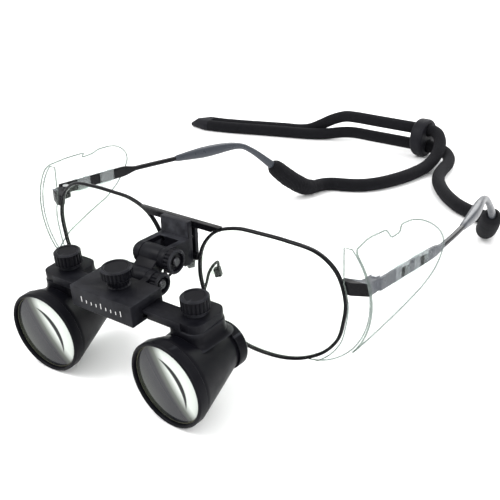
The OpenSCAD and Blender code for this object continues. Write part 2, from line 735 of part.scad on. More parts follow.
module barrel(name) {
    boss_low = barrel_axis + 7;
    w = barrel_wall;
    rear = barrel_length - 1.4;
    color(black) union() {
        at_barrel(name) turned([[bezel_r - 0.5, seat_start], [bezel_r - 0.5, bezel_length + 1.6],
            [cone_end_r, cone_length], [cone_end_r, rear], [cone_end_r - w, rear],
            [cone_end_r - w, cone_length], [glass_r - w, seat_end + 3],
            [glass_r - w, seat_end], [glass_r + fit, seat_end], [glass_r + fit, seat_start]]);
        difference() {
            loupe_frame() side(name) translate([pivot_x, pivot_y, 0]) rotate([0, 0, -convergence])
                difference() {
                    translate([0, 0, boss_low]) boss_shape(arm_top - arm_thick - 0.1 - boss_low);
                    translate([0, 0, arm_top - arm_thick - 2.7]) cylinder(h = 4, r = shaft_r + fit);
                }
            at_barrel(name) turned([[0, -5], [bezel_r + 0.3, -5], [bezel_r + 0.3, bezel_length + 0.3],
                [bezel_r - 1, bezel_length + 1.7], [cone_end_r - w / 2, cone_length - 0.1],
                [cone_end_r - w / 2, 60], [0, 60]]);
        }
    }
}

module barrel_left() { barrel("left"); }
module barrel_right() { barrel("right"); }

module bezel(name) {
    color(black) at_barrel(name) turned([[glass_r - 0.6, 0], [bezel_r - 0.5, 0], [bezel_r, 0.5],
        [bezel_r, bezel_length], [bezel_r - 0.5 + fit, bezel_length], [bezel_r - 0.5 + fit, seat_start - fit],
        [glass_r - 0.6, seat_start - fit]]);
}

module bezel_left() { bezel("left"); }
module bezel_right() { bezel("right"); }

module objective(name) {
    arc = [for (i = [0:8]) let (r = glass_r * i / 8)
        [r, objective_start + objective_curve - objective_sag - sqrt(objective_curve ^ 2 - r ^ 2)]];
    back = objective_start + objective_edge;
    color([0.75, 0.82, 0.85, 0.5]) at_barrel(name) turned(concat(arc, [[glass_r, back], [0, back]]));
}

module objective_left() { objective("left"); }
module objective_right() { objective("right"); }

module spacer(name) {
    start = objective_start + objective_edge + fit;
    end = seat_end - fit;
    color(black) at_barrel(name) turned([[glass_r - 2.6, start], [glass_r - fit, start],
        [glass_r - fit, end], [glass_r - 2.6, end]]);
}

module spacer_left() { spacer("left"); }
module spacer_right() { spacer("right"); }

module eyepiece_lens(name) {
    color([0.75, 0.82, 0.85, 0.5]) at_barrel(name) translate([0, 0, barrel_length - 1.3])
        cylinder(h = eye_thick, r = eye_glass_r);
}

module eyepiece_lens_left() { eyepiece_lens("left"); }
module eyepiece_lens_right() { eyepiece_lens("right"); }

module eyepiece_ring(name) {
    color(black) at_barrel(name) turned([[cone_end_r + fit, cone_length], [eyepiece_r, cone_length],
        [eyepiece_r, barrel_length + 0.2], [eyepiece_r - 0.5, barrel_length + 0.8],
        [eye_glass_r - 0.8, barrel_length + 0.8],
        [eye_glass_r - 0.8, barrel_length + 0.1], [eye_glass_r + fit, barrel_length + 0.1],
        [eye_glass_r + fit, barrel_length - 1.35], [cone_end_r + fit, barrel_length - 1.35]]);
}

module eyepiece_ring_left() { eyepiece_ring("left"); }
module eyepiece_ring_right() { eyepiece_ring("right"); }

// Strap
module cord(points) {
    color([0.03, 0.03, 0.03]) even_tube(points, cord_d / 2, 0, len(points) - 1);
}

module strap_cord_left() { cord(leg_left_points); }
module strap_cord_right() { cord(leg_right_points); }
module strap_tail_upper() { cord(tail_upper_points); }
module strap_tail_lower() { cord(tail_lower_points); }

module strap_slider() {
    color([0.08, 0.08, 0.1]) translate(slider_place) difference() {
        rod(slider_d / 2, -slider_thick / 2, slider_thick / 2);
        for (z = [-slider_hole, slider_hole]) translate([0, 0, z]) rod(cord_d / 2 + 0.2, -20, 20);
    }
}

module strap_end_cap() {
    a = tail_upper_points[len(tail_upper_points) - 1];
    b = tail_lower_points[len(tail_lower_points) - 1];
    r = cord_d / 2;
    half = norm(a - b) / 2;
    turn = atan2(b[0] - a[0], a[1] - b[1]) + 180;
    color([0.03, 0.03, 0.03]) translate((a + b) / 2) rotate([0, 0, turn]) hull() {
        for (y = [-half, half]) translate([0.1, y, 0]) rotate([0, 90, 0]) cylinder(h = 3, r = r, $fn = 32);
        translate([9, 0, -0.3]) rotate([0, 90, 0]) cylinder(h = 1, r = r - 0.4, $fn = 32);
        translate([13.6, 0, -1.6]) sphere(r = 1.4, $fn = 32);
    }
}

rim_left();
rim_right();
top_bar();
nose_bridge();
endpiece_left();
endpiece_right();
lens_left();
lens_right();
rim_screws();
temple_screw_left();
temple_screw_right();
pad_arm_left();
pad_arm_right();
pad_screws();
nose_pad_left();
nose_pad_right();
temple_left();
temple_right();
temple_tip_left();
temple_tip_right();
strap_sleeve_left();
strap_sleeve_right();
side_shield_left();
side_shield_right();
mount_bracket();
clamp_plate();
clamp_screws();
flip_link();
flip_pin();
flip_knob();
tilt_pin();
tilt_knob();
loupe_block();
centre_knob();
arm_left();
arm_right();
barrel_knob_left();
barrel_knob_right();
barrel_left();
barrel_right();
bezel_left();
bezel_right();
objective_left();
objective_right();
spacer_left();
spacer_right();
eyepiece_lens_left();
eyepiece_lens_right();
eyepiece_ring_left();
eyepiece_ring_right();
strap_cord_left();
strap_cord_right();
strap_tail_upper();
strap_tail_lower();
strap_slider();
strap_end_cap();
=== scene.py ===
"""Flip-up dental loupes: smooth pieces, materials, cords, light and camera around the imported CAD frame.

Sizes are in millimetres in "glasses" coordinates (origin midway between the lens centres). worn() puts them
in the row frame, and new_mesh() turns them into metres. Cord points are in the row frame from the start.
"""

import json
import math

import bmesh
import bpy
import numpy as np
from mathutils import Matrix, Vector

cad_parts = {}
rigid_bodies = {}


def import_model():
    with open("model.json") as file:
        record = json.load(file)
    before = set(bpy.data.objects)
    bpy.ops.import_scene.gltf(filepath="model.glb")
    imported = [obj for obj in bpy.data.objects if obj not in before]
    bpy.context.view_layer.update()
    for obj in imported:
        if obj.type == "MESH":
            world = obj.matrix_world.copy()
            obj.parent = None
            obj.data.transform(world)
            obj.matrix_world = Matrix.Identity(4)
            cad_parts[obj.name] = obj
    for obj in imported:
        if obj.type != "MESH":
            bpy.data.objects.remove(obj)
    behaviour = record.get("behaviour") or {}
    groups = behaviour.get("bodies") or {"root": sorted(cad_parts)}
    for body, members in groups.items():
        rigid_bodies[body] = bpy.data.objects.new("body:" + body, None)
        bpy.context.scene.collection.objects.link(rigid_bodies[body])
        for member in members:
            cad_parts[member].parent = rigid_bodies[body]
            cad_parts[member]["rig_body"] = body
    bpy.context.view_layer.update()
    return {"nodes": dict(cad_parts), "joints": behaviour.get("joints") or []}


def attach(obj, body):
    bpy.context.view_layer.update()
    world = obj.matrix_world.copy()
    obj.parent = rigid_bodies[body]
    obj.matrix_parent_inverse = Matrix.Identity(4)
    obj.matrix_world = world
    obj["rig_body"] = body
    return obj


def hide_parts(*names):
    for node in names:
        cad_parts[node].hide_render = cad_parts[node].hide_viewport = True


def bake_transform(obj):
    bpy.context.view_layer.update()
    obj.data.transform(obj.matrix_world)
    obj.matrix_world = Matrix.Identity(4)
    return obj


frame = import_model()
NODES = frame["nodes"]
JOINTS = {joint["name"]: joint for joint in frame["joints"]}
MM = 0.001
SIDES = {"left": 1, "right": -1}

# Places, from the frame's joints and from part.scad
HINGE = Vector(JOINTS["temple_left_fold"]["pos_m"]) / MM
HINGE_Y = 8.4
ENDPIECE_Z = 12.4
GLASSES = Vector((0, HINGE.y - HINGE_Y, HINGE.z - ENDPIECE_Z))
FLIP = Vector(JOINTS["flip_up"]["pos_m"]) / MM
TILT = Vector(JOINTS["tilt"]["pos_m"]) / MM
DECLINATION = math.radians(4.5)
CONVERGENCE = math.radians(3)
BLOCK_CORNER = (-38.8, 8)

# Sizes that part.scad also holds
LENS_X = 37
WRAP = math.radians(2.5)
BEZEL_R = 14.2
BEZEL_LENGTH = 3.4
BARREL_LENGTH = 28
EYEPIECE_R = 7.9
PIVOT = (27.4, 12.4)
BARREL_FRONT = (-3.6, -20.7)
ARM_TOP = -3.4
ARM_THICK = 2.6
CORD_R = 3.2
RIM_WIRE = 1.1
RIM_DEPTH = 1.6


# ------------ places

def worn():
    """Glasses coordinates to the row frame, both in millimetres."""
    return Matrix.Translation(GLASSES)


def loupe_frame():
    """The block's own frame: y back from its front face, z up from its top."""
    corner = Matrix.Translation(GLASSES + Vector((0, *BLOCK_CORNER)))
    return corner @ Matrix.Rotation(DECLINATION, 4, "X")


def barrel_frame():
    """The left barrel's axis as z, from the front of its bezel."""
    pivot = Matrix.Translation((*PIVOT, 0)) @ Matrix.Rotation(-CONVERGENCE, 4, "Z")
    front = Matrix.Translation((0, BARREL_FRONT[0] - PIVOT[1], BARREL_FRONT[1]))
    return loupe_frame() @ pivot @ front @ Matrix.Rotation(-math.pi / 2, 4, "X")


def mirrored(side):
    """Nothing for the left side, and the mirror image in X for the right side."""
    return Matrix.Scale(SIDES[side], 4, (1, 0, 0))


# ------------ curves

def spline(points, steps, closed=False):
    """A smooth curve through the points, as a list of Vectors."""
    points = [Vector(p) for p in points]
    count = len(points)
    out = []
    for i in range(count if closed else count - 1):
        if closed:
            a, b, c, d = (points[(i + k) % count] for k in (-1, 0, 1, 2))
        else:
            a, b, c, d = (points[min(max(i + k, 0), count - 1)] for k in (-1, 0, 1, 2))
        for k in range(steps):
            t = k / steps
            out.append(0.5 * (2 * b + (c - a) * t + (2 * a - 5 * b + 4 * c - d) * t * t
                              + (3 * b - a - 3 * c + d) * t ** 3))
    if not closed:
        out.append(points[-1])
    return out


def headings(path, closed=False):
    """The direction of the path at each of its points."""
    count = len(path)
    out = []
    for i in range(count):
        if closed:
            step = path[(i + 1) % count] - path[i - 1]
        else:
            step = path[min(i + 1, count - 1)] - path[max(i - 1, 0)]
        out.append(step.normalized())
    return out


# ------------ meshes

def new_mesh(name, verts, faces, place=None, uvs=None):
    """An object from points in millimetres. place is a matrix in millimetres; uvs holds one pair a corner."""
    mesh = bpy.data.meshes.new(name)
    place = place or Matrix.Identity(4)
    mesh.from_pydata([place @ Vector(v) * MM for v in verts], [], faces)
    if place.determinant() < 0:
        mesh.flip_normals()
    if uvs:
        layer = mesh.uv_layers.new(name="along")
        for loop, uv in zip(layer.data, uvs):
            loop.uv = uv
    mesh.validate()
    mesh.update()
    obj = bpy.data.objects.new(name, mesh)
    bpy.context.scene.collection.objects.link(obj)
    return obj


def shade(obj, angle=32):
    """Smooth faces with sharp edges over the angle."""
    obj.data.polygons.foreach_set("use_smooth", [True] * len(obj.data.polygons))
    obj.data.set_sharp_from_angle(angle=math.radians(angle))
    return obj


def cleaned(obj, angle=32):
    """Doubled points merged and faces turned outwards."""
    bm = bmesh.new()
    bm.from_mesh(obj.data)
    bmesh.ops.remove_doubles(bm, verts=bm.verts, dist=1e-7)
    bmesh.ops.recalc_face_normals(bm, faces=bm.faces)
    bm.to_mesh(obj.data)
    bm.free()
    return shade(obj, angle)


def sweep(name, path, sections, place=None, closed=False, up=(0, 0, 1)):
    """A loft of one section, a list of (side, up) pairs, at each point of the path."""
    ways = headings(path, closed)
    around = len(sections[0])
    lengths = [0.0]
    for a, b in zip(path, path[1:]):
        lengths.append(lengths[-1] + (b - a).length * MM)
    verts = []
    for point, way, section in zip(path, ways, sections):
        across = way.cross(Vector(up)).normalized()
        rise = across.cross(way)
        verts += [point + across * x + rise * y for x, y in section]
    faces, uvs = [], []
    count = len(path)
    for i in range(count if closed else count - 1):
        j = (i + 1) % count
        for k in range(around):
            m = (k + 1) % around
            faces.append([i * around + k, i * around + m, j * around + m, j * around + k])
            far = lengths[j] if j else lengths[-1] + (path[0] - path[-1]).length * MM
            uvs += [(lengths[i], k / around), (lengths[i], (k + 1) / around),
                    (far, (k + 1) / around), (far, k / around)]
    if not closed:
        for i, order in ((0, -1), (count - 1, 1)):
            ring = [i * around + k for k in range(around)][::order]
            faces.append(ring)
            uvs += [(lengths[i], k % around / around) for k in ring]
    return shade(new_mesh(name, verts, faces, place, uvs))


def oval(a, b, count=24, power=2.0):
    """A superellipse section with half sizes a and b."""
    out = []
    for k in range(count):
        t = 2 * math.pi * k / count
        c, s = math.cos(t), math.sin(t)
        out.append((a * math.copysign(abs(c) ** (2 / power), c), b * math.copysign(abs(s) ** (2 / power), s)))
    return out


def lathe(name, profile, place, around=72, angle=32, wobble=None, closed=False):
    """A profile of (radius, height) pairs turned about z. wobble(angle, height) scales the radius.

    A closed profile makes a ring, and an open one starts and ends on the axis.
    """
    verts, faces = [], []
    for r, z in profile:
        for k in range(around):
            t = 2 * math.pi * k / around
            reach = r * (wobble(t, z) if wobble else 1)
            verts.append((reach * math.cos(t), reach * math.sin(t), z))
    count = len(profile)
    for i in range(count if closed else count - 1):
        j = (i + 1) % count
        for k in range(around):
            m = (k + 1) % around
            faces.append([i * around + k, i * around + m, j * around + m, j * around + k])
    return cleaned(new_mesh(name, verts, faces, place), angle)


def rounded(profile, radius, steps=3, closed=False):
    """The profile with each corner that lies between two others cut round."""
    points = [Vector(p) for p in profile]
    count = len(points)
    out = []
    for i, point in enumerate(points):
        if not closed and i in (0, count - 1):
            out.append(tuple(point))
            continue
        before, after = points[i - 1] - point, points[(i + 1) % count] - point
        reach = min(radius, before.length * 0.45, after.length * 0.45)
        a, b = point + before.normalized() * reach, point + after.normalized() * reach
        for k in range(steps + 1):
            u = k / steps
            out.append(tuple(a * (1 - u) ** 2 + point * (2 * u * (1 - u)) + b * u ** 2))
    return out


def bevelled(obj, width, segments=2, angle=28):
    """Rounds every edge that is sharper than the angle."""
    bm = bmesh.new()
    bm.from_mesh(obj.data)
    bmesh.ops.remove_doubles(bm, verts=bm.verts, dist=2e-6)
    bmesh.ops.dissolve_limit(bm, angle_limit=math.radians(1.5), verts=bm.verts, edges=bm.edges)
    sharp = [e for e in bm.edges if e.is_manifold and e.calc_face_angle(0) > math.radians(angle)]
    bmesh.ops.bevel(bm, geom=sharp, offset=width * MM, offset_type="OFFSET", segments=segments,
                    profile=0.6, affect="EDGES", clamp_overlap=True)
    bm.to_mesh(obj.data)
    bm.free()
    return shade(obj, 40)


def joined(name, objects):
    """Several objects as one."""
    mesh = bpy.data.meshes.new(name)
    bm = bmesh.new()
    for obj in objects:
        bm.from_mesh(obj.data)
        bpy.data.objects.remove(obj)
    bm.to_mesh(mesh)
    bm.free()
    whole = bpy.data.objects.new(name, mesh)
    bpy.context.scene.collection.objects.link(whole)
    return whole


def boolean(obj, other, operation):
    """obj combined with another closed mesh, which is used up."""
    modifier = obj.modifiers.new("combine", "BOOLEAN")
    modifier.object = other
    modifier.operation = operation
    modifier.solver = "EXACT"
    depsgraph = bpy.context.evaluated_depsgraph_get()
    mesh = bpy.data.meshes.new_from_object(obj.evaluated_get(depsgraph))
    obj.modifiers.clear()
    obj.data = mesh
    bpy.data.objects.remove(other)
    return shade(obj, 32)


def cut(obj, cutter):
    return boolean(obj, cutter, "DIFFERENCE")


def brick(low, high, place=None):
    """A plain box, used as a cutter or to be bevelled."""
    (x0, y0, z0), (x1, y1, z1) = low, high
    verts = [(x, y, z) for x in (x0, x1) for y in (y0, y1) for z in (z0, z1)]
    faces = [(0, 1, 3, 2), (4, 6, 7, 5), (0, 4, 5, 1), (2, 3, 7, 6), (0, 2, 6, 4), (1, 5, 7, 3)]
    return new_mesh("brick", verts, faces, place)


def dressed(obj, finish, *nodes):
    """Gives a piece the material of its finish, and hides the CAD nodes that it stands for."""
    material, slot = finish
    obj.data.materials.clear()
    obj.data.materials.append(material)
    if nodes:
        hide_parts(*nodes)
    return obj


def placed(obj, body, finish, *nodes):
    """A dressed piece that rides on one body."""
    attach(dressed(obj, finish, *nodes), body)


def refined(node, finish, width, segments=2):
    """A CAD node's shape with rounded edges, on the node's own body."""
    source = NODES[node]
    obj = bpy.data.objects.new(node + "_shape", source.data.copy())
    bpy.context.scene.collection.objects.link(obj)
    placed(bevelled(obj, width, segments), source["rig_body"], finish, node)


# ------------ materials

class Shader:
    """A Principled material, with short calls for the nodes that vary it over the surface."""

    def __init__(self, name, colour, rough, metallic=0.0, **inputs):
        self.material = bpy.data.materials.new(name)
        self.material.use_nodes = True
        self.tree = self.material.node_tree
        self.body = self.tree.nodes["Principled BSDF"]
        self.put("Base Color", (*colour, 1))
        self.put("Roughness", rough)
        self.put("Metallic", metallic)
        for key, value in inputs.items():
            self.put(key.replace("_", " "), value)

    def put(self, socket, value):
        self.body.inputs[socket].default_value = value

    def feed(self, socket, source):
        self.link(source, self.body.inputs[socket])

    def node(self, kind, **settings):
        node = self.tree.nodes.new(kind)
        for key, value in settings.items():
            setattr(node, key, value)
        return node

    def link(self, source, target):
        self.tree.links.new(source, target)

    def noise(self, scale, detail, stretch=(1, 1, 1)):
        """Noise over the object's own coordinates; scale is in features a metre."""
        place = self.node("ShaderNodeTexCoord")
        mapping = self.node("ShaderNodeMapping")
        mapping.inputs["Scale"].default_value = stretch
        texture = self.node("ShaderNodeTexNoise")
        texture.inputs["Scale"].default_value = scale
        texture.inputs["Detail"].default_value = detail
        texture.inputs["Roughness"].default_value = 0.55
        self.link(place.outputs["Object"], mapping.inputs["Vector"])
        self.link(mapping.outputs["Vector"], texture.inputs["Vector"])
        return texture.outputs["Fac"]

    def math(self, operation, a, b=0.0):
        node = self.node("ShaderNodeMath", operation=operation)
        for socket, value in zip(node.inputs, (a, b)):
            if isinstance(value, (int, float)):
                socket.default_value = value
            else:
                self.link(value, socket)
        return node.outputs[0]

    def ranged(self, value, low, high, start=0.3, end=0.7):
        """low to high, as the value goes from start to end."""
        node = self.node("ShaderNodeMapRange")
        node.inputs["From Min"].default_value = start
        node.inputs["From Max"].default_value = end
        node.inputs["To Min"].default_value = low
        node.inputs["To Max"].default_value = high
        self.link(value, node.inputs["Value"])
        return node.outputs[0]

    def mixed(self, value, low, high):
        """Between two colours, by a value from 0 to 1."""
        ramp = self.node("ShaderNodeValToRGB")
        ramp.color_ramp.elements[0].color = (*low, 1)
        ramp.color_ramp.elements[1].color = (*high, 1)
        self.link(value, ramp.inputs["Fac"])
        return ramp.outputs["Color"]

    def bump(self, height, strength, depth):
        """depth in millimetres."""
        node = self.node("ShaderNodeBump")
        node.inputs["Strength"].default_value = strength
        node.inputs["Distance"].default_value = depth * MM
        self.link(height, node.inputs["Height"])
        self.link(node.outputs["Normal"], self.body.inputs["Normal"])

    def worn_edges(self, start=0.52, end=0.62):
        """0 on flats and 1 along sharp outer edges."""
        geometry = self.node("ShaderNodeNewGeometry")
        return self.ranged(geometry.outputs["Pointiness"], 0, 1, start, end)

    def see_through(self, tint, share, clear_first):
        """Mixes tinted transparency with the body. share is that of the second of the two."""
        clear = self.node("ShaderNodeBsdfTransparent")
        clear.inputs["Color"].default_value = (*tint, 1)
        mix = self.node("ShaderNodeMixShader")
        self.link(share, mix.inputs["Fac"])
        self.link(clear.outputs["BSDF"], mix.inputs[1 if clear_first else 2])
        self.link(self.body.outputs["BSDF"], mix.inputs[2 if clear_first else 1])
        self.link(mix.outputs["Shader"], self.tree.nodes["Material Output"].inputs["Surface"])


def satin_black():
    """Black anodised aluminium with a fine blasted grain, lighter where edges are worn."""
    s = Shader("black_anodised", (0.004, 0.004, 0.006), 0.42, Specular_IOR_Level=0.07)
    grain = s.noise(9000, 2)
    cloud = s.noise(260, 4)
    wear = s.math("MULTIPLY", s.worn_edges(), s.ranged(cloud, 0.15, 1.0))
    s.feed("Base Color", s.mixed(wear, (0.003, 0.003, 0.0045), (0.035, 0.036, 0.042)))
    s.feed("Roughness", s.ranged(cloud, 0.34, 0.46))
    s.bump(grain, 0.25, 0.02)
    return s.material


def gloss_black():
    """Black enamel on the spectacle wire, with a slight orange-peel."""
    s = Shader("black_enamel", (0.004, 0.004, 0.005), 0.22, Specular_IOR_Level=0.1)
    s.put("Coat Weight", 0.03)
    s.put("Coat Roughness", 0.12)
    cloud = s.noise(420, 3)
    wear = s.math("MULTIPLY", s.worn_edges(0.55, 0.68), s.ranged(cloud, 0.0, 0.8))
    s.feed("Base Color", s.mixed(wear, (0.003, 0.003, 0.004), (0.05, 0.05, 0.05)))
    s.feed("Roughness", s.ranged(cloud, 0.18, 0.3))
    s.bump(s.noise(1500, 2), 0.12, 0.03)
    return s.material


def steel(name, metallic, stretch, rough, dark, light):
    """Turned steel with fine streaks. stretch says how much finer they are along each axis."""
    s = Shader(name, light, rough[0], metallic)
    streaks = s.noise(700, 3, stretch)
    s.feed("Roughness", s.ranged(streaks, *rough))
    s.feed("Base Color", s.mixed(streaks, dark, light))
    s.bump(streaks, 0.15, 0.01)
    return s.material


def grey_plastic():
    """Dark grey metallic lacquer on the temple tips."""
    s = Shader("grey_lacquer", (0.02, 0.024, 0.03), 0.3, metallic=0.1, Specular_IOR_Level=0.35)
    s.put("Coat Weight", 0.1)
    s.put("Coat Roughness", 0.15)
    flakes = s.noise(6000, 2)
    s.feed("Base Color", s.mixed(flakes, (0.014, 0.017, 0.023), (0.034, 0.04, 0.052)))
    s.feed("Roughness", s.ranged(s.noise(300, 3), 0.24, 0.38))
    s.bump(flakes, 0.1, 0.01)
    return s.material


def black_rubber():
    s = Shader("black_rubber", (0.006, 0.006, 0.008), 0.55, Specular_IOR_Level=0.1)
    cloud = s.noise(500, 4)
    s.feed("Roughness", s.ranged(cloud, 0.45, 0.66))
    s.feed("Base Color", s.mixed(cloud, (0.004, 0.004, 0.006), (0.012, 0.012, 0.015)))
    s.bump(s.noise(5000, 2), 0.3, 0.04)
    return s.material


def white_print():
    s = Shader("white_print", (0.62, 0.62, 0.62), 0.6)
    s.feed("Base Color", s.mixed(s.noise(3000, 3), (0.45, 0.45, 0.45), (0.72, 0.72, 0.72)))
    return s.material


def knitted(name, across, pitch, dark, light):
    """Knitted cord: two families of threads cross round the tube. across is threads round, pitch in mm."""
    s = Shader(name, dark, 0.85, Specular_IOR_Level=0.08)
    s.put("Sheen Weight", 0.04)
    s.put("Sheen Roughness", 0.5)
    s.put("Sheen Tint", (0.5, 0.5, 0.55, 1))
    uv = s.node("ShaderNodeUVMap", uv_map="along")
    split = s.node("ShaderNodeSeparateXYZ")
    s.link(uv.outputs["UV"], split.inputs["Vector"])
    along = s.math("MULTIPLY", split.outputs["X"], 2 * math.pi / (pitch * MM))
    turn = s.math("MULTIPLY", split.outputs["Y"], 2 * math.pi * across)
    left = s.math("SINE", s.math("ADD", along, turn))
    right = s.math("SINE", s.math("SUBTRACT", along, turn))
    weave = s.math("MAXIMUM", left, right)
    fuzz = s.noise(7000, 3)
    height = s.math("ADD", s.math("MULTIPLY", weave, 0.5), fuzz)
    # Painted shade: the colour darkens in the grooves between the threads, and it also varies at random in
    # patches.
    groove_shade_and_tone = s.math("MULTIPLY", s.ranged(weave, 0.1, 1, -0.2, 1), s.ranged(s.noise(350, 4), 0.55, 1))
    s.feed("Base Color", s.mixed(groove_shade_and_tone, dark, light))
    s.feed("Roughness", s.ranged(fuzz, 0.78, 0.95))
    s.bump(height, 0.7, 0.22)
    return s.material


def clear(name, tint, share, colour, rough):
    """Clear plastic: mostly the tint of what lies behind it, and a share of its own glossy colour."""
    s = Shader(name, colour, rough, Specular_IOR_Level=0.5)
    wipes = s.noise(150, 4, stretch=(1, 1, 3))
    s.feed("Roughness", s.ranged(wipes, rough, rough + 0.1))
    s.see_through(tint, s.ranged(wipes, share * 0.8, share * 1.2), clear_first=True)
    return s.material


def glass(name, tint, ior, coat):
    """Solid glass with a coating, which casts only a tinted shadow."""
    s = Shader(name, tint, 0.0, IOR=ior)
    s.put("Transmission Weight", 1.0)
    s.put("Coat Weight", coat)
    s.feed("Roughness", s.ranged(s.noise(180, 4), 0, 0.03))
    lamp_ray = s.node("ShaderNodeLightPath").outputs["Is Shadow Ray"]
    s.see_through(tint, lamp_ray, clear_first=False)
    return s.material


BLACK = satin_black(), "black_body"
ENAMEL = gloss_black(), "black_frame"
STEEL = steel("bright_steel", 1.0, (1, 1, 9), (0.16, 0.38), (0.5, 0.5, 0.51), (0.72, 0.72, 0.72)), "steel"
PIN_STEEL = steel("blackened_steel", 0.8, (9, 1, 1), (0.22, 0.42), (0.016, 0.016, 0.018),
                  (0.05, 0.05, 0.055)), "steel"
GREY = grey_plastic(), "grey_tip"
PRINT = white_print(), "black_body"
RUBBER = black_rubber(), "black_rubber"
CAP = RUBBER[0], "black_cord"
CORD = knitted("knitted_cord", 14, 1.1, (0.002, 0.002, 0.0025), (0.009, 0.009, 0.011)), "black_cord"
SLEEVE = knitted("knitted_sleeve", 22, 0.9, (0.002, 0.002, 0.0025), (0.01, 0.01, 0.012)), "black_cord"
LENS = clear("lens_plastic", (0.965, 0.988, 0.965), 0.02, (0.8, 0.9, 0.8), 0.02), "clear_lens"
SHIELD = clear("shield_plastic", (0.985, 0.995, 0.985), 0.1, (0.4, 0.42, 0.48), 0.06), "clear_shield"
# Painted highlight: the loops' plastic is paler than the wall's, standing in for the light on their edges.
SHIELD_LOOP_HIGHLIGHT = clear("shield_loop_painted_highlight", (0.95, 0.975, 0.965), 0.12, (0.75, 0.78, 0.8),
                    0.06), "clear_shield"
# Painted shade: the darker lines along the shield's edges, in place of the light bent at a cut edge; the
# green tint is the plastic's own.
SHIELD_EDGE_SHADE = clear("shield_edge_painted_shade", (0.8, 0.85, 0.82), 0.45, (0.12, 0.14, 0.13), 0.2), "clear_shield"
SILICONE = clear("pad_silicone", (0.96, 0.97, 0.96), 0.12, (0.35, 0.37, 0.36), 0.2), "clear_pad"
GLASS = glass("coated_glass", (0.9, 0.93, 0.96), 1.6, 0.6), "coated_glass"


# ------------ strap

LEG_RIGHT = [(-45.7, 92.2, 4), (-45.3, 94.6, 3.6), (-44.8, 98, 3.3), (-43, 101.3, 3.2), (-39.8, 103.7, 3.2),
             (-35.4, 105.4, 3.2), (-31, 107.4, 3.2), (-27, 110.3, 3.2), (-23.6, 114.4, 3.2),
             (-20.7, 119.6, 3.2), (-18.2, 126, 3.2), (-16.2, 133, 3.2), (-14.8, 141, 3.2),
             (-13.8, 149, 3.5), (-13.2, 157, 5.2), (-13.6, 164.2, 8.2), (-15.6, 170.4, 11.4),
             (-19, 174.8, 13.8), (-22.2, 176.7, 14.7), (-24.6, 177, 14.9), (-25.5, 177, 14.9)]
LEG_LEFT = [(45.7, 92.2, 4), (45.3, 94.6, 3.6), (44.7, 98.2, 3.3), (42.4, 101.9, 3.2), (38.6, 104.6, 3.2),
            (33.8, 106.4, 3.2), (28.7, 108.4, 3.2), (23.5, 111.3, 3.2), (18.3, 115.3, 3.2),
            (12.5, 120.8, 3.2), (6.4, 128, 3.2), (1, 136, 3.2), (-3, 145, 3.2), (-5.3, 154, 3.2),
            (-6.6, 162, 3.4), (-9.6, 169.6, 4), (-14.6, 174.8, 5), (-20.4, 176.8, 5.6), (-24.6, 177, 5.7),
            (-25.5, 177, 5.7)]
TAIL_UPPER = [(-25.5, 177, 14.9), (-36, 177, 14.9), (-48, 177, 14.9), (-60, 177, 14.9), (-72, 177, 14.9),
              (-80, 177.6, 14), (-88, 177, 11), (-95, 175.6, 7.2), (-101, 173.8, 4.3), (-107, 171.7, 3.2),
              (-115, 169.2, 3.2), (-125, 165.7, 3.2), (-135, 162, 3.2), (-145, 158.6, 3.2),
              (-154, 156, 3.2), (-159.6, 155, 3.2)]
TAIL_LOWER = [(-25.5, 177, 5.7), (-36, 177, 5.7), (-48, 177, 5.7), (-60, 177, 5.7), (-72, 177, 5.7),
              (-80, 176.2, 4.9), (-88, 172.8, 3.6), (-95, 169, 3.2), (-101, 166.4, 3.2),
              (-107, 164.4, 3.2), (-115, 162, 3.2), (-125, 158.6, 3.2), (-135, 155, 3.2),
              (-145, 151.6, 3.2), (-154, 149.2, 3.2), (-158.5, 148.4, 3.2)]


def cord(name, points, node, temple_body=None):
    """A strap cord. Without a temple body it rides on the frame; with one, its place is baked into its mesh
    and it rides on no body.
    """
    path = spline(points, 5)
    obj = sweep(name, path, [oval(CORD_R, CORD_R, 24)] * len(path))
    dressed(obj, CORD, node)
    if temple_body:
        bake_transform(obj)
    else:
        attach(obj, "root")


cord("strap_leg_left", LEG_LEFT, "strap_cord_left", "temple_left")
cord("strap_leg_right", LEG_RIGHT, "strap_cord_right", "temple_right")
cord("strap_end_upper", TAIL_UPPER, "strap_tail_upper")
cord("strap_end_lower", TAIL_LOWER, "strap_tail_lower")


# ------------ loupes

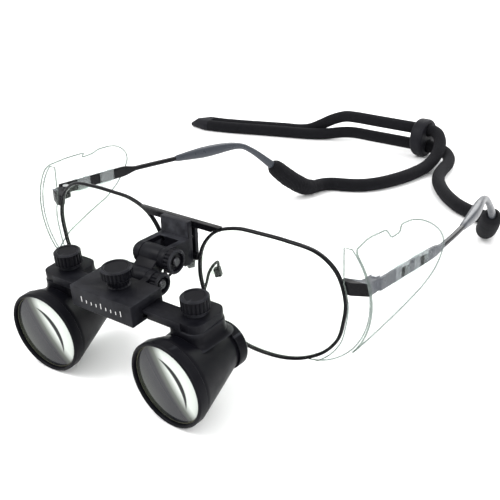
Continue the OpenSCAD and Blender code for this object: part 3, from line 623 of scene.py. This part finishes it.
def painted_lens_reflection():
    """Coated objective with a painted reflection: dark grey that fades to a painted bright side with a thin
    black crescent in it, standing in for the light seen through the lens and on its inner wall.

    The map "disc" holds the place on the lens, from -1 to 1 to the wearer's left and up.
    """
    s = Shader("objective_painted_reflection", (0.4, 0.4, 0.4), 0.12, Specular_IOR_Level=0.15)
    s.put("Coat Weight", 0.12)
    s.put("Coat Roughness", 0.03)
    uv = s.node("ShaderNodeUVMap", uv_map="disc")
    painted_bright_way = Vector((0.84, 0.54, 0))

    def within(offset, radius, blur):
        """1 inside a circle whose centre is moved against the painted bright side, 0 outside it."""
        node = s.node("ShaderNodeVectorMath", operation="DISTANCE")
        s.link(uv.outputs["UV"], node.inputs[0])
        node.inputs[1].default_value = painted_bright_way * -offset
        return s.ranged(node.outputs["Value"], 1, 0, radius - blur, radius + blur)

    dot = s.node("ShaderNodeVectorMath", operation="DOT_PRODUCT")
    s.link(uv.outputs["UV"], dot.inputs[0])
    dot.inputs[1].default_value = painted_bright_way
    ramp = s.node("ShaderNodeValToRGB")
    stops = [(0.0, (0.035, 0.039, 0.029)), (0.3, (0.012, 0.013, 0.016)), (0.5, (0.02, 0.02, 0.024)),
             (0.59, (0.1, 0.11, 0.095)), (0.7, (0.58, 0.62, 0.58))]
    for _ in stops[2:]:
        ramp.color_ramp.elements.new(0.5)
    for element, (place, colour) in zip(ramp.color_ramp.elements, stops):
        element.position = place
        element.color = (*colour, 1)
    s.link(s.ranged(dot.outputs["Value"], 0, 1, -1, 1), ramp.inputs["Fac"])

    def layered(factor, below, above):
        mix = s.node("ShaderNodeMixRGB")
        s.link(factor, mix.inputs["Fac"])
        for socket, value in ((mix.inputs["Color1"], below), (mix.inputs["Color2"], above)):
            if isinstance(value, tuple):
                socket.default_value = (*value, 1)
            else:
                s.link(value, socket)
        return mix.outputs["Color"]

    # Painted reflection: the black crescent and the bright side stand in for light seen through and inside
    # the lens.
    colour = layered(within(0.22, 0.8, 0.015), ramp.outputs["Color"], (0.003, 0.003, 0.005))
    colour = layered(within(0.66, 1.11, 0.015), colour, ramp.outputs["Color"])
    colour = layered(within(0, 0.975, 0.012), (0.1, 0.1, 0.07), colour)
    s.feed("Base Color", colour)
    return s.material


def disc_map(obj, centre, radius):
    """Stores each point's place across a lens, seen from the front, from -1 to 1."""
    layer = obj.data.uv_layers.new(name="disc")
    for loop in obj.data.loops:
        across = (obj.data.vertices[loop.vertex_index].co / MM - centre) / radius
        layer.data[loop.index].uv = (across.x, across.z)


def fluted(count, depth, low, high):
    """A wobble for lathe: rounded flutes between two heights."""
    def wobble(turn, z):
        if not low <= z <= high:
            return 1
        return 1 - depth * (0.5 + 0.5 * math.cos(count * turn)) ** 2
    return wobble


def knurled(radius, length, count, place, name, dish=0.22):
    """A knob along z from 0: flutes round its side, chamfered ends and a dished top."""
    edge = min(0.45, length * 0.15)
    profile = [(0, 0), (radius - edge, 0), (radius, edge)]
    profile += [(radius, z) for z in np.linspace(edge + 0.05, length - edge - 0.05, 6)]
    profile += [(radius, length - edge), (radius - edge, length), (radius - 1.1, length),
                (radius - 1.35, length - dish), (0, length - dish)]
    wobble = fluted(count, 0.07, edge + 0.01, length - edge - 0.01)
    return lathe(name, profile, place, around=count * 6, angle=40, wobble=wobble)


def barrel_set(side):
    """One loupe barrel: housing, foot, bezel, lenses and eyepiece ring."""
    place = mirrored(side) @ barrel_frame()
    body = "barrel_" + side
    r, front = BEZEL_R, BEZEL_LENGTH
    cone_r, cone_end = EYEPIECE_R - 0.7, BARREL_LENGTH - 3.2
    shell = [(r - 0.5, 2.2), (r - 0.5, front + 1.2), (r - 0.62, front + 1.7), (cone_r + 0.5, cone_end - 1.6),
             (cone_r, cone_end - 0.4), (cone_r, cone_end + 1.5), (cone_r - 1.1, cone_end + 1.5),
             (cone_r - 1.1, cone_end), (r - 2.45, front + 4.4), (r - 2.45, front + 1.4),
             (r - 1.2, front + 1.4), (r - 1.2, 2.2)]
    housing = lathe("housing", rounded(shell, 0.35, closed=True), place, 96, closed=True)
    foot = barrel_foot(side)
    placed(joined("barrel_housing_" + side, [housing, foot]), body, BLACK, body)
    ring = [(r - 1.15, 0.35), (r - 0.85, 0), (r - 0.4, 0), (r, 0.45), (r, front), (r - 0.42, front),
            (r - 0.42, 1.95), (r - 1.15, 1.95)]
    bezel = lathe("bezel_" + side + "_ring", rounded(ring, 0.18, closed=True), place, 96, closed=True)
    placed(bezel, body, BLACK, "bezel_" + side)
    glass_r, curve, edge = r - 1.16, 80, 1.3
    apex = edge - (curve - math.sqrt(curve ** 2 - glass_r ** 2))
    reaches = [glass_r * k / 16 for k in range(17)]
    dome = [(reach, apex + curve - math.sqrt(curve ** 2 - reach ** 2)) for reach in reaches]
    seat = [(glass_r, 1.9), (r - 1.25, 1.95), (r - 1.25, 4), (0, 4)]
    lens = lathe("objective_" + side + "_glass", dome + seat, place, 96)
    disc_map(lens, place @ Vector((0, 0, edge)), glass_r)
    # The objective's colour is a painted reflection.
    placed(lens, body, PAINTED_REFLECTION, "objective_" + side)
    e = EYEPIECE_R
    z = BARREL_LENGTH
    cup = [(cone_r + 0.05, cone_end), (e, cone_end), (e, z + 0.1), (e - 0.55, z + 0.8), (e - 1.9, z + 0.8),
           (e - 2.4, z + 0.15), (e - 1.55, z + 0.1), (e - 1.55, z - 1.35), (cone_r + 0.05, z - 1.35)]
    grip = fluted(40, 0.02, cone_end + 0.5, z - 0.4)
    cup_ring = lathe("eyepiece_" + side + "_ring", rounded(cup, 0.2, closed=True), place, 240,
                     wobble=grip, closed=True)
    placed(cup_ring, body, BLACK, "eyepiece_ring_" + side)
    small = e - 1.6
    hollow = [(small * k / 10, z - 0.75 + 0.7 * (k / 10) ** 2) for k in range(11)]
    back = lathe("eyepiece_" + side + "_glass", [(0, z - 1.3), (small, z - 1.3)] + hollow[::-1], place, 72)
    placed(back, body, GLASS, "eyepiece_lens_" + side)
    refined("spacer_" + side, BLACK, 0.1)


def barrel_foot(side):
    """The foot under the arm: rounded, and flared where it runs into the housing."""
    half, corner = (6.1, 7.2), 3.6
    top = ARM_TOP - ARM_THICK - 0.12
    levels = [(top, 0.0), (top - 0.25, 0.22), (top - 2.2, 0.26), (top - 3.8, 0.55), (top - 4.6, 1.3),
              (top - 5.1, 2.3)]
    verts = []
    outline = rounded_rectangle(half[0], half[1], corner, 8)
    for z, grow in levels:
        for x, y in outline:
            scale = 1 + grow / half[1]
            verts.append((x * scale, y * scale, z))
    count = len(outline)
    last = (len(levels) - 1) * count
    faces = [list(range(count)), list(range(last, last + count))]
    for low in range(0, last, count):
        high = low + count
        for k in range(count):
            m = (k + 1) % count
            faces.append([low + k, low + m, high + m, high + k])
    turn = Matrix.Translation((*PIVOT, 0)) @ Matrix.Rotation(-CONVERGENCE, 4, "Z")
    return cleaned(new_mesh("foot", verts, faces, mirrored(side) @ loupe_frame() @ turn))


def rounded_rectangle(a, b, corner, steps):
    """An outline with half sizes a and b and quarter circles at its corners."""
    out = []
    for x, y, start in ((1, 1, 0), (-1, 1, 90), (-1, -1, 180), (1, -1, 270)):
        for k in range(steps + 1):
            t = math.radians(start + 90 * k / steps)
            out.append((x * (a - corner) + corner * math.cos(t), y * (b - corner) + corner * math.sin(t)))
    return out


def along_x(point):
    """z turned to point along X, from a place in the row frame, in millimetres."""
    return Matrix.Translation(point) @ Matrix.Rotation(math.pi / 2, 4, "Y")


# The objectives' painted reflection.
PAINTED_REFLECTION = painted_lens_reflection(), "coated_glass"
PIN_END = 6.35
for side in SIDES:
    barrel_set(side)
    refined("arm_" + side, BLACK, 0.3)
    top = mirrored(side) @ loupe_frame() @ Matrix.Translation((*PIVOT, ARM_TOP + 0.1))
    stem = lathe("stem", [(0, -5), (1.5, -5), (1.5, 0), (3.7, 0), (3.7, 1.3), (0, 1.3)], top)
    knob = knurled(4.5, 4.6, 22, top @ Matrix.Translation((0, 0, 1.1)), "knob")
    node = "barrel_knob_" + side
    placed(joined(node + "_turned", [stem, knob]), node, BLACK, node)


def slotted_pin(name, place, radius, head_r, length):
    """A pin along X with a slotted, domed head at its right end."""
    profile = [(0, 0), (radius, 0), (radius, length - 0.3), (radius - 0.3, length), (0, length)]
    shank = lathe("shank", profile, place)
    profile = [(0, -1.5), (head_r - 0.5, -1.5), (head_r, -1.0), (head_r, 0), (0, 0)]
    head = lathe("head", rounded(profile, 0.3), place)
    slot_cut = brick((-0.3, -head_r - 1, -2), (0.3, head_r + 1, -0.95), place)
    return joined(name, [shank, cut(head, slot_cut)])


def scale_marks():
    """Plain tick marks across the block's front face, in place of its printing."""
    verts, faces = [], []
    foot, half = -4.6, 0.14
    box = ((0, 1, 2, 3), (7, 6, 5, 4), (0, 4, 5, 1), (1, 5, 6, 2), (2, 6, 7, 3), (3, 7, 4, 0))
    for k in range(9):
        x = (k - 4) * 2.1
        top = foot + (1.9 if k % 4 == 0 else 1.1)
        faces += [[len(verts) + corner for corner in face] for face in box]
        for y in (-0.04, 0.03):
            verts += [(x - half, y, foot), (x + half, y, foot), (x + half, y, top), (x - half, y, top)]
    return new_mesh("block_ticks", verts, faces, loupe_frame())


refined("loupe_block", BLACK, 0.35)
placed(scale_marks(), "block", PRINT)
centre = loupe_frame() @ Matrix.Translation((0, 8.4, 0))
profile = [(0, -6.6), (1.5, -6.6), (1.5, 0.1), (3.9, 0.1), (3.4, 0.5), (3.4, 2.8), (0, 2.8)]
stem = lathe("stem", profile, centre, around=120, wobble=fluted(20, 0.06, 0.4, 2.7))
knob = knurled(5, 3.6, 24, centre @ Matrix.Translation((0, 0, 2.6)), "knob")
placed(joined("centre_knob_turned", [stem, knob]), "centre_knob", BLACK, "centre_knob")
for name in ("mount_bracket", "clamp_plate", "flip_link"):
    refined(name, BLACK, 0.3)
for name, point, radius, body in (("flip", FLIP, 4.1, "root"), ("tilt", TILT, 3.7, "link")):
    pin = slotted_pin(name + "_pin_turned", along_x(Vector((-PIN_END, point.y, point.z))), 1.5, 2.8, 15.7)
    placed(pin, body, PIN_STEEL, name + "_pin")
    start = along_x(Vector((PIN_END, point.y, point.z)))
    knob = knurled(radius, 3, 18, start, name + "_knob_turned", dish=0.9)
    placed(knob, name + "_knob", BLACK, name + "_knob")
refined("clamp_screws", STEEL, 0.2)


# ------------ spectacle front

RIM_POINTS = [(24.6, 0), (25.2, 8), (22, 16.6), (15, 21.6), (5, 22.8), (-5, 23), (-14.5, 22.6), (-23, 19.4),
              (-28.6, 12.4), (-30, 3), (-27.6, -6), (-22, -13.6), (-13, -18.6), (-2, -19.6), (8, -17.8),
              (17, -13), (22.6, -6.6)]
RIM_OUT_X = LENS_X + 25.2 * math.cos(WRAP)
RIM_IN = (LENS_X - 30 * math.cos(WRAP), -30 * math.sin(WRAP))


def lens_plane(side):
    """Across the lens: x outwards, y up and z to the front, from the lens centre."""
    turn = Matrix.Rotation(WRAP, 4, "Z") @ Matrix.Rotation(math.pi / 2, 4, "X")
    return mirrored(side) @ worn() @ Matrix.Translation((LENS_X, 0, 0)) @ turn


def rim_outline(inwards, steps=6):
    """The rim's outer outline in its plane, moved inwards."""
    path = spline([(x, y, 0) for x, y in RIM_POINTS], steps, closed=True)
    return [p - way.cross(Vector((0, 0, 1))) * inwards for p, way in zip(path, headings(path, closed=True))]


def rim(side):
    path = rim_outline(RIM_WIRE / 2)
    section = oval(RIM_WIRE / 2, RIM_DEPTH / 2, 20, 2.5)
    obj = sweep("rim_wire_" + side, path, [section] * len(path), lens_plane(side), closed=True)
    placed(obj, "root", ENAMEL, "rim_" + side)


def spectacle_lens(side):
    """A shallow curved lens whose thin edge sits in the rim's groove."""
    edge = rim_outline(RIM_WIRE - 0.35, 4)
    middle = sum(edge, Vector()) / len(edge)
    shares = [0, 0.15, 0.3, 0.45, 0.6, 0.72, 0.82, 0.9, 0.96, 0.985]
    verts, faces = [], []
    around = len(edge)
    for half in (0.6, -0.6):
        for share in shares:
            rise = Vector((0, 0, half + 0.9 * (1 - share ** 2)))
            verts += [middle.lerp(p, share) + rise for p in edge]
    front, back = 0, len(shares) * around
    for start in (front, back):
        for i in range(len(shares) - 1):
            for k in range(around):
                m = (k + 1) % around
                low, high = start + i * around, start + (i + 1) * around
                faces.append([low + k, high + k, high + m, low + m])
    rim_start = len(verts)
    verts += edge
    for start in (front, back):
        last = start + (len(shares) - 1) * around
        for k in range(around):
            m = (k + 1) % around
            faces.append([last + k, rim_start + k, rim_start + m, last + m])
    obj = new_mesh("spectacle_lens_" + side, verts, faces, lens_plane(side))
    placed(cleaned(obj), "root", LENS, "lens_" + side)


# ------------ nose pads

PAD_PLACE = Vector((RIM_IN[0] - 0.9, 9.4, -1.4))


def pad_frame(side):
    """x away from the nose, y back and z up, from the pad's rocking pin."""
    turn = Matrix.Rotation(math.radians(24), 4, "Z") @ Matrix.Rotation(math.radians(-14), 4, "Y")
    return mirrored(side) @ worn() @ Matrix.Translation(PAD_PLACE) @ turn


def pad_wire(side):
    """The hooked wire from the rim to the pad's box."""
    foot = Vector((RIM_IN[0] + 1.1, RIM_IN[1] + RIM_DEPTH / 2 + 0.4, -3.4))
    bends = [foot, foot + Vector((-0.5, 1.6, 1.4)), foot + Vector((-0.6, 3, 4.2)),
             foot + Vector((-0.6, 5.2, 6.1)), PAD_PLACE + Vector((0.7, -0.8, 4.2)),
             PAD_PLACE + Vector((0.2, 0, 1.3))]
    path = spline(bends, 8)
    wire = sweep("wire", path, [oval(0.5, 0.5, 14)] * len(path), mirrored(side) @ worn(), up=(1, 0, 0))
    place = pad_frame(side)
    box = brick((-1.1, -1.2, -1.6), (1.1, 1.2, 1.6), place)
    box = cut(box, brick((-3, -0.75, -3), (0.75, 0.75, 0.95), place))
    arm = joined("pad_wire_" + side, [wire, bevelled(box, 0.22)])
    placed(arm, "root", ENAMEL, "pad_arm_" + side)


def pad_cushion(side):
    """The soft oval pad, with the lug that rocks in the box."""
    place = pad_frame(side)
    narrowed = Matrix.Translation((-2.8, 0, 0)) @ Matrix.Scale(7.4 / 13, 4, (0, 1, 0))
    facing = place @ narrowed @ Matrix.Rotation(math.pi / 2, 4, "Y")
    outline = [(0, -1.0), (2.5, -0.95), (4.4, -0.75), (5.7, -0.4), (6.35, 0), (6.5, 0.4), (6.2, 0.75),
               (5.2, 0.9), (3, 0.85), (0, 0.8)]
    cushion = lathe("cushion", rounded(outline, 0.6), facing, 64, 60)
    lug = bevelled(brick((-2.2, -0.6, -0.6), (0.45, 0.6, 0.6), place), 0.2)
    placed(joined("pad_cushion_" + side, [cushion, lug]), "pad_" + side, SILICONE, "nose_pad_" + side)


def cross_head(place, radius, height):
    """A small screw head with a cross recess, its top up z."""
    head = lathe("head", rounded([(0, 0), (radius, 0), (radius, height), (0, height)], 0.12), place, 40)
    for half in ((0.1, radius * 0.72), (radius * 0.72, 0.1)):
        slot = brick((-half[0], -half[1], height * 0.4), (half[0], half[1], height + 1), place)
        head = cut(head, slot)
    return head


def pad_screws():
    pieces = []
    for side in SIDES:
        place = pad_frame(side) @ Matrix.Rotation(math.pi / 2, 4, "X")
        pieces.append(lathe("shank", [(0, -1.2), (0.4, -1.2), (0.4, 1.2), (0, 1.2)], place, 24))
        pieces.append(cross_head(place @ Matrix.Translation((0, 0, 1.2)), 0.75, 0.4))
    placed(joined("pad_cross_screws", pieces), "root", PIN_STEEL, "pad_screws")


# ------------ temples

HINGE_X = HINGE.x
KNUCKLE_R = 1.6
KNUCKLE_HALF = 4 / 6
FLAT_MID = HINGE_X + KNUCKLE_R + 0.8
FLAT_END = HINGE_Y + 39.9
BEND_Y = HINGE_Y + 95
DROP = math.radians(4.3)
WIRE_POINTS = [(FLAT_MID, FLAT_END - 6, 0), (FLAT_MID - 0.3, FLAT_END, 0),
               (FLAT_MID - 2.2, HINGE_Y + 56.05, 8.8), (FLAT_MID - 5.2, HINGE_Y + 75.05, 7.7),
               (FLAT_MID - 9.6, BEND_Y - 1, 6.6),
               (FLAT_MID - 11.3, BEND_Y + 8.5, 2.2), (FLAT_MID - 14, BEND_Y + 20.6, -7.8),
               (FLAT_MID - 18, BEND_Y + 28.2, -15.6), (FLAT_MID - 21.2, BEND_Y + 34.2, -20.5),
               (FLAT_MID - 22.8, BEND_Y + 38, -22.5), (FLAT_MID - 23.7, BEND_Y + 41.8, -23.2)]
TIP_FIRST, TIP_LAST, SLEEVE_LAST = 9, 24, 40
TIP_RADII = [1.3, 1.7, 2.1, 2.45, 2.5, 2.3, 1.95, 1.6, 1.4, 1.35, 1.35, 1.4, 1.5, 1.65, 1.8, 1.95]
SLEEVE_RADII = [3.3, 3.9, 4.2, 4.3, 4.3, 4.3, 4.3, 4.3, 4.2, 4.2, 4.1, 4, 3.9, 3.8, 3.7, 3.5, 3.3]
FINE = 3


def temple_z(y):
    """Height of the temple's middle, which drops towards the ear."""
    return ENDPIECE_Z + 0.5 - (y - HINGE_Y) * math.tan(DROP)


def wire_curve():
    """The temple's wire, with FINE steps for each step of the CAD's path."""
    points = [(x, y, temple_z(y) if i < 2 else z) for i, (x, y, z) in enumerate(WIRE_POINTS)]
    return spline(points, 4 * FINE)


def temple(side):
    """A flat strip that tapers to a round wire, with the hinge's middle knuckle at its front."""
    place = mirrored(side) @ worn()
    strip = [Vector((FLAT_MID, y, temple_z(y))) for y in np.linspace(HINGE_Y - 1, FLAT_END - 8, 8)]
    wire = [p for p in wire_curve()[:35 * FINE] if p.y > FLAT_END - 6.5]
    path = strip + wire
    sections = []
    for p in path:
        share = float(np.clip((p.y - FLAT_END + 8) / 8, 0, 1))
        share = share * share * (3 - 2 * share)
        sections.append(oval(0.6 + 0.4 * share, 2.1 - 1.1 * share, 28, 7 - 5 * share))
    blade = sweep("blade", path, sections, place)
    middle = Matrix.Translation((HINGE_X, HINGE_Y, ENDPIECE_Z))
    turned = [(0, -KNUCKLE_HALF), (KNUCKLE_R, -KNUCKLE_HALF), (KNUCKLE_R, KNUCKLE_HALF), (0, KNUCKLE_HALF)]
    knuckle = lathe("knuckle", rounded(turned, 0.15), place @ middle, 48)
    low = (HINGE_X, HINGE_Y, ENDPIECE_Z - KNUCKLE_HALF)
    high = (FLAT_MID, HINGE_Y + 2.4, ENDPIECE_Z + KNUCKLE_HALF)
    web = bevelled(brick(low, high, place), 0.15)
    body = "temple_" + side
    placed(joined("temple_blade_" + side, [blade, knuckle, web]), body, ENAMEL, body)


def temple_end(side):
    """The lacquered tip, flattened where it is widest, and the strap's knitted sleeve over its end."""
    place = mirrored(side) @ worn()
    path = wire_curve()
    first, last = TIP_FIRST * FINE, TIP_LAST * FINE + 2
    radii = np.interp(np.arange(first, last) / FINE, np.arange(TIP_FIRST, TIP_LAST + 1), TIP_RADII)
    sections = [oval(max(1.2, r * 0.78), r, 28, 2.2) for r in radii]
    sections[0] = oval(1.02, 1.02, 28)
    tip = sweep("tip_" + side, path[first:last], sections, place)
    body = "temple_" + side
    placed(tip, body, GREY, "temple_tip_" + side)
    first, last = TIP_LAST * FINE, SLEEVE_LAST * FINE + 1
    radii = np.interp(np.arange(first, last) / FINE, np.arange(TIP_LAST, SLEEVE_LAST + 1), SLEEVE_RADII)
    radii[0], radii[1] = 2.35, 3.1
    radii[-1], radii[-2], radii[-3] = 2.6, 3.0, 3.25
    waves = [1 + 0.012 * math.sin(i * 1.7) + 0.01 * math.sin(i * 0.63) for i in range(len(radii))]
    sections = [oval(r * w, r * w, 36) for r, w in zip(radii, waves)]
    sleeve = sweep("knitted_sleeve_" + side, path[first:last], sections, place)
    placed(sleeve, body, SLEEVE, "strap_sleeve_" + side)


# ------------ side shields

SHIELD_R = 26
SHIELD_THICK = 1.1
SHIELD_Z = ENDPIECE_Z - 3.6
SHIELD_X = FLAT_MID + 0.75 - math.sqrt((SHIELD_R - SHIELD_THICK) ** 2
                                       - (temple_z(HINGE_Y - 1) + 2.1 - SHIELD_Z) ** 2)
SHIELD_OUTLINE = [(-0.6, -8.5), (8, -4.5), (22, -0.6), (32, 2), (39, 5.6), (43.5, 10), (45.4, 14),
                  (44, 17.4), (40.8, 20.4), (36.7, 22.8), (31.9, 24.3), (25.5, 24.8), (23, 23.4),
                  (17.6, 23.4), (17.6, 25.6), (8, 26.2), (-0.6, 25.4)]
LOOPS = [(HINGE_Y + 10.4, 2), (HINGE_Y + 22.6, 2.4)]
FLANGE_X = RIM_OUT_X - 0.8
FLANGE_TOP = SHIELD_Z + 16.6


def shield_point(y, z):
    """A place on the middle of the shield's curved wall."""
    return Vector((SHIELD_X + math.sqrt((SHIELD_R - SHIELD_THICK / 2) ** 2 - (z - SHIELD_Z) ** 2), y, z))


def dense(outline, step):
    """The closed outline with points no further apart than the step."""
    out = []
    for a, b in zip(outline, outline[1:] + outline[:1]):
        a, b = Vector(a), Vector(b)
        count = max(1, math.ceil((b - a).length / step))
        out += [tuple(a.lerp(b, k / count)) for k in range(count)]
    return out


def prism(low, high, place):
    """A solid between two outlines with the same number of points."""
    count = len(low)
    faces = [list(range(count)), list(range(count, 2 * count))[::-1]]
    faces += [[k, count + k, count + (k + 1) % count, (k + 1) % count] for k in range(count)]
    return cleaned(new_mesh("prism", low + high, faces, place))


def shade_bead(path, radius, place, up):
    """A fine closed wire along an edge, darker than the clear wall: painted shade in place of the light that
    a cut edge bends.
    """
    return sweep("shade_bead", path, [oval(radius, radius, 10)] * len(path), place, closed=True, up=up)


def shield_flange(side, axis):
    """The flat front of the shield, between its outer arc and the rim, and the wire of painted shade along
    its edge.
    """
    place = mirrored(side) @ worn()
    inner = SHIELD_R - SHIELD_THICK
    disc = lathe("flange", [(0, -0.6), (inner, -0.6), (inner, 0.4), (0, 0.4)], axis, 200)
    rim_gap = rim_outline(-1.0, 5)
    low, high = ([(p.x, p.y, z) for p in rim_gap] for z in (-9, 9))
    disc = cut(disc, prism(low, high, lens_plane(side)))
    start = LENS_X + 8
    for low, high in (((0, -3, -60), (start, 3, 60)), ((start - 1, -3, 0.02), (FLANGE_X, 3, 60)),
                      ((start - 1, -3, FLANGE_TOP), (90, 3, 60)),
                      ((start - 1, -3, ENDPIECE_Z - 4.1), (SHIELD_X + SHIELD_R - 1.6, 3, ENDPIECE_Z + 3.9))):
        disc = cut(disc, brick(low, high, place))
    reach = inner - 0.3
    arc = [Vector((SHIELD_X + math.sqrt(reach ** 2 - (z - SHIELD_Z) ** 2), -0.1, z))
           for z in np.linspace(FLANGE_TOP, SHIELD_Z - reach + 0.3, 60)]
    flat = worn().inverted() @ mirrored(side) @ lens_plane(side)
    beside = [flat @ p for p in rim_gap]
    beside = [Vector((p.x, -0.1, p.z)) for p in beside if p.x > start + 1 and (p.z < 0 or p.x > FLANGE_X)]
    beside = sorted((p for p in beside if arc[-1].z < p.z < 16), key=lambda p: p.z)
    path = [*arc, *beside, Vector((FLANGE_X, -0.1, FLANGE_TOP))]
    return disc, shade_bead(path, 0.24, place, (0, 1, 0))


def shield(side):
    """A clear curved wall with a front flange and two loops, and a wire of painted shade along its edges."""
    place = mirrored(side) @ worn()
    body = "temple_" + side
    axis = place @ Matrix.Translation((SHIELD_X, 0, SHIELD_Z)) @ Matrix.Rotation(-math.pi / 2, 4, "X")
    inner = SHIELD_R - SHIELD_THICK
    outline = rounded(SHIELD_OUTLINE, 2.2, 5, closed=True)
    wall = lathe("wall", [(inner, -2), (SHIELD_R, -2), (SHIELD_R, 50), (inner, 50)], axis, 200, closed=True)
    low, high = ([(x, y, z) for y, z in outline] for x in (RIM_OUT_X - 2.8, RIM_OUT_X + 21.2))
    wall = boolean(wall, prism(low, high, place), "INTERSECT")
    loops = []
    for y, half in LOOPS:
        z = temple_z(y)
        low = (FLAT_MID - 1.7, y - half - 1, z - 3.9)
        high = (SHIELD_X + SHIELD_R - 0.6, y + half + 1, z + 3.9)
        loop = bevelled(brick(low, high, place), 0.5, 3)
        tilted = place @ Matrix.Translation((FLAT_MID, y, z)) @ Matrix.Rotation(-DROP, 4, "X")
        loop = cut(loop, brick((-0.7, -6, -2.25), (0.7, 6, 2.25), tilted))
        window = (0, -half - 0.5, -2.8), (6, half + 0.5, 2.8)
        loops.append(cut(loop, brick(*window, tilted)))
        wall = cut(wall, brick(*window, tilted))
    flange, front_shade_bead = shield_flange(side, axis)
    placed(joined("shield_" + side, [wall, flange]), body, SHIELD, "side_shield_" + side)
    # The loops' paler plastic is a painted highlight.
    placed(joined("shield_loops_" + side, loops), body, SHIELD_LOOP_HIGHLIGHT)
    # Wires of painted shade along the shield's edges.
    wall_shade_bead = shade_bead([shield_point(y, z) for y, z in dense(outline, 1.5)], 0.3, place, (1, 0, 0.01))
    placed(joined("shield_shade_bead_" + side, [wall_shade_bead, front_shade_bead]), body, SHIELD_EDGE_SHADE)


for side in SIDES:
    rim(side)
    spectacle_lens(side)
    pad_wire(side)
    pad_cushion(side)
    temple(side)
    temple_end(side)
    shield(side)
    refined("endpiece_" + side, ENAMEL, 0.3, 3)
    refined("temple_screw_" + side, STEEL, 0.12)
pad_screws()
refined("top_bar", ENAMEL, 0.45, 3)
refined("nose_bridge", ENAMEL, 0.45, 3)
refined("rim_screws", STEEL, 0.12)


# ------------ slider and end cap

SLIDER = Vector((-29, 177, 10.3))
SLIDER_R, SLIDER_HALF, SLIDER_HOLE = 10.25, 3.5, 4.6


def slider():
    """A thick rounded disc with a hole for each cord."""
    place = Matrix.Translation(SLIDER) @ Matrix.Rotation(math.pi / 2, 4, "Y")
    drum = [(0, -SLIDER_HALF), (SLIDER_R - 0.8, -SLIDER_HALF), (SLIDER_R, -SLIDER_HALF + 1.2),
            (SLIDER_R, SLIDER_HALF - 1.2), (SLIDER_R - 0.8, SLIDER_HALF), (0, SLIDER_HALF)]
    disc = lathe("disc", rounded(drum, 1.4, 5), place, 96)
    wide, narrow = CORD_R + 0.9, CORD_R + 0.2
    flare, neck = SLIDER_HALF + 0.02, SLIDER_HALF - 0.7
    hole = [(0, -6), (wide, -6), (wide, -flare), (narrow, -neck), (narrow, neck), (wide, flare),
            (wide, 6), (0, 6)]
    for z in (-SLIDER_HOLE, SLIDER_HOLE):
        disc = cut(disc, lathe("hole", hole, place @ Matrix.Translation((z, 0, 0)), 48))
    disc.name = "slider_disc"
    placed(disc, "slider", RUBBER, "strap_slider")


slider()
refined("strap_end_cap", CAP, 0.5, 3)


# ------------ floor, light and camera

def floor():
    half = 3000
    corners = [(-half, -half, 0), (half, -half, 0), (half, half, 0), (-half, half, 0)]
    obj = new_mesh("floor", corners, [(0, 1, 2, 3)])
    s = Shader("pale_floor", (0.9, 0.9, 0.9), 0.6, Specular_IOR_Level=0.2)
    s.feed("Base Color", s.mixed(s.noise(3, 2), (0.89, 0.89, 0.89), (0.91, 0.91, 0.91)))
    obj.data.materials.append(s.material)


def lamp(name, place, target, size, power):
    """A soft square light; place and target in metres."""
    light = bpy.data.lights.new(name, "AREA")
    light.size = size
    light.energy = power
    obj = bpy.data.objects.new(name, light)
    obj.location = place
    obj.rotation_euler = (Vector(target) - Vector(place)).to_track_quat("-Z", "Y").to_euler()
    bpy.context.scene.collection.objects.link(obj)


def studio():
    world = bpy.data.worlds.new("studio")
    world.use_nodes = True
    background = world.node_tree.nodes["Background"]
    background.inputs["Color"].default_value = (1, 1, 1, 1)
    background.inputs["Strength"].default_value = 1.0
    bpy.context.scene.world = world
    lamp("key", (-0.35, -0.45, 0.75), (0, -0.03, 0.02), 0.5, 6)
    lamp("fill", (0.6, -0.2, 0.45), (0, 0, 0.02), 0.6, 4)
    lamp("back", (-0.1, 0.75, 0.5), (0, 0, 0.02), 0.6, 5)


def camera():
    """Azimuth 38 degrees right of straight ahead, 24.5 degrees above, with a slight roll."""
    azimuth, elevation, roll = (math.radians(a) for a in (38.04, 24.54, -1.34))
    data = bpy.data.cameras.new("camera")
    data.sensor_width = 36
    data.lens = 62.69
    data.clip_start = 0.01
    obj = bpy.data.objects.new("camera", data)
    obj.location = (GLASSES + Vector((178.64, -193.24, 127.78))) * MM
    turn = Matrix.Rotation(azimuth, 3, "Z") @ Matrix.Rotation(math.pi / 2 - elevation, 3, "X")
    obj.rotation_euler = (turn @ Matrix.Rotation(roll, 3, "Z")).to_euler()
    bpy.context.scene.collection.objects.link(obj)
    bpy.context.scene.camera = obj


floor()
studio()
camera()
bpy.context.scene.view_settings.view_transform = "Standard"
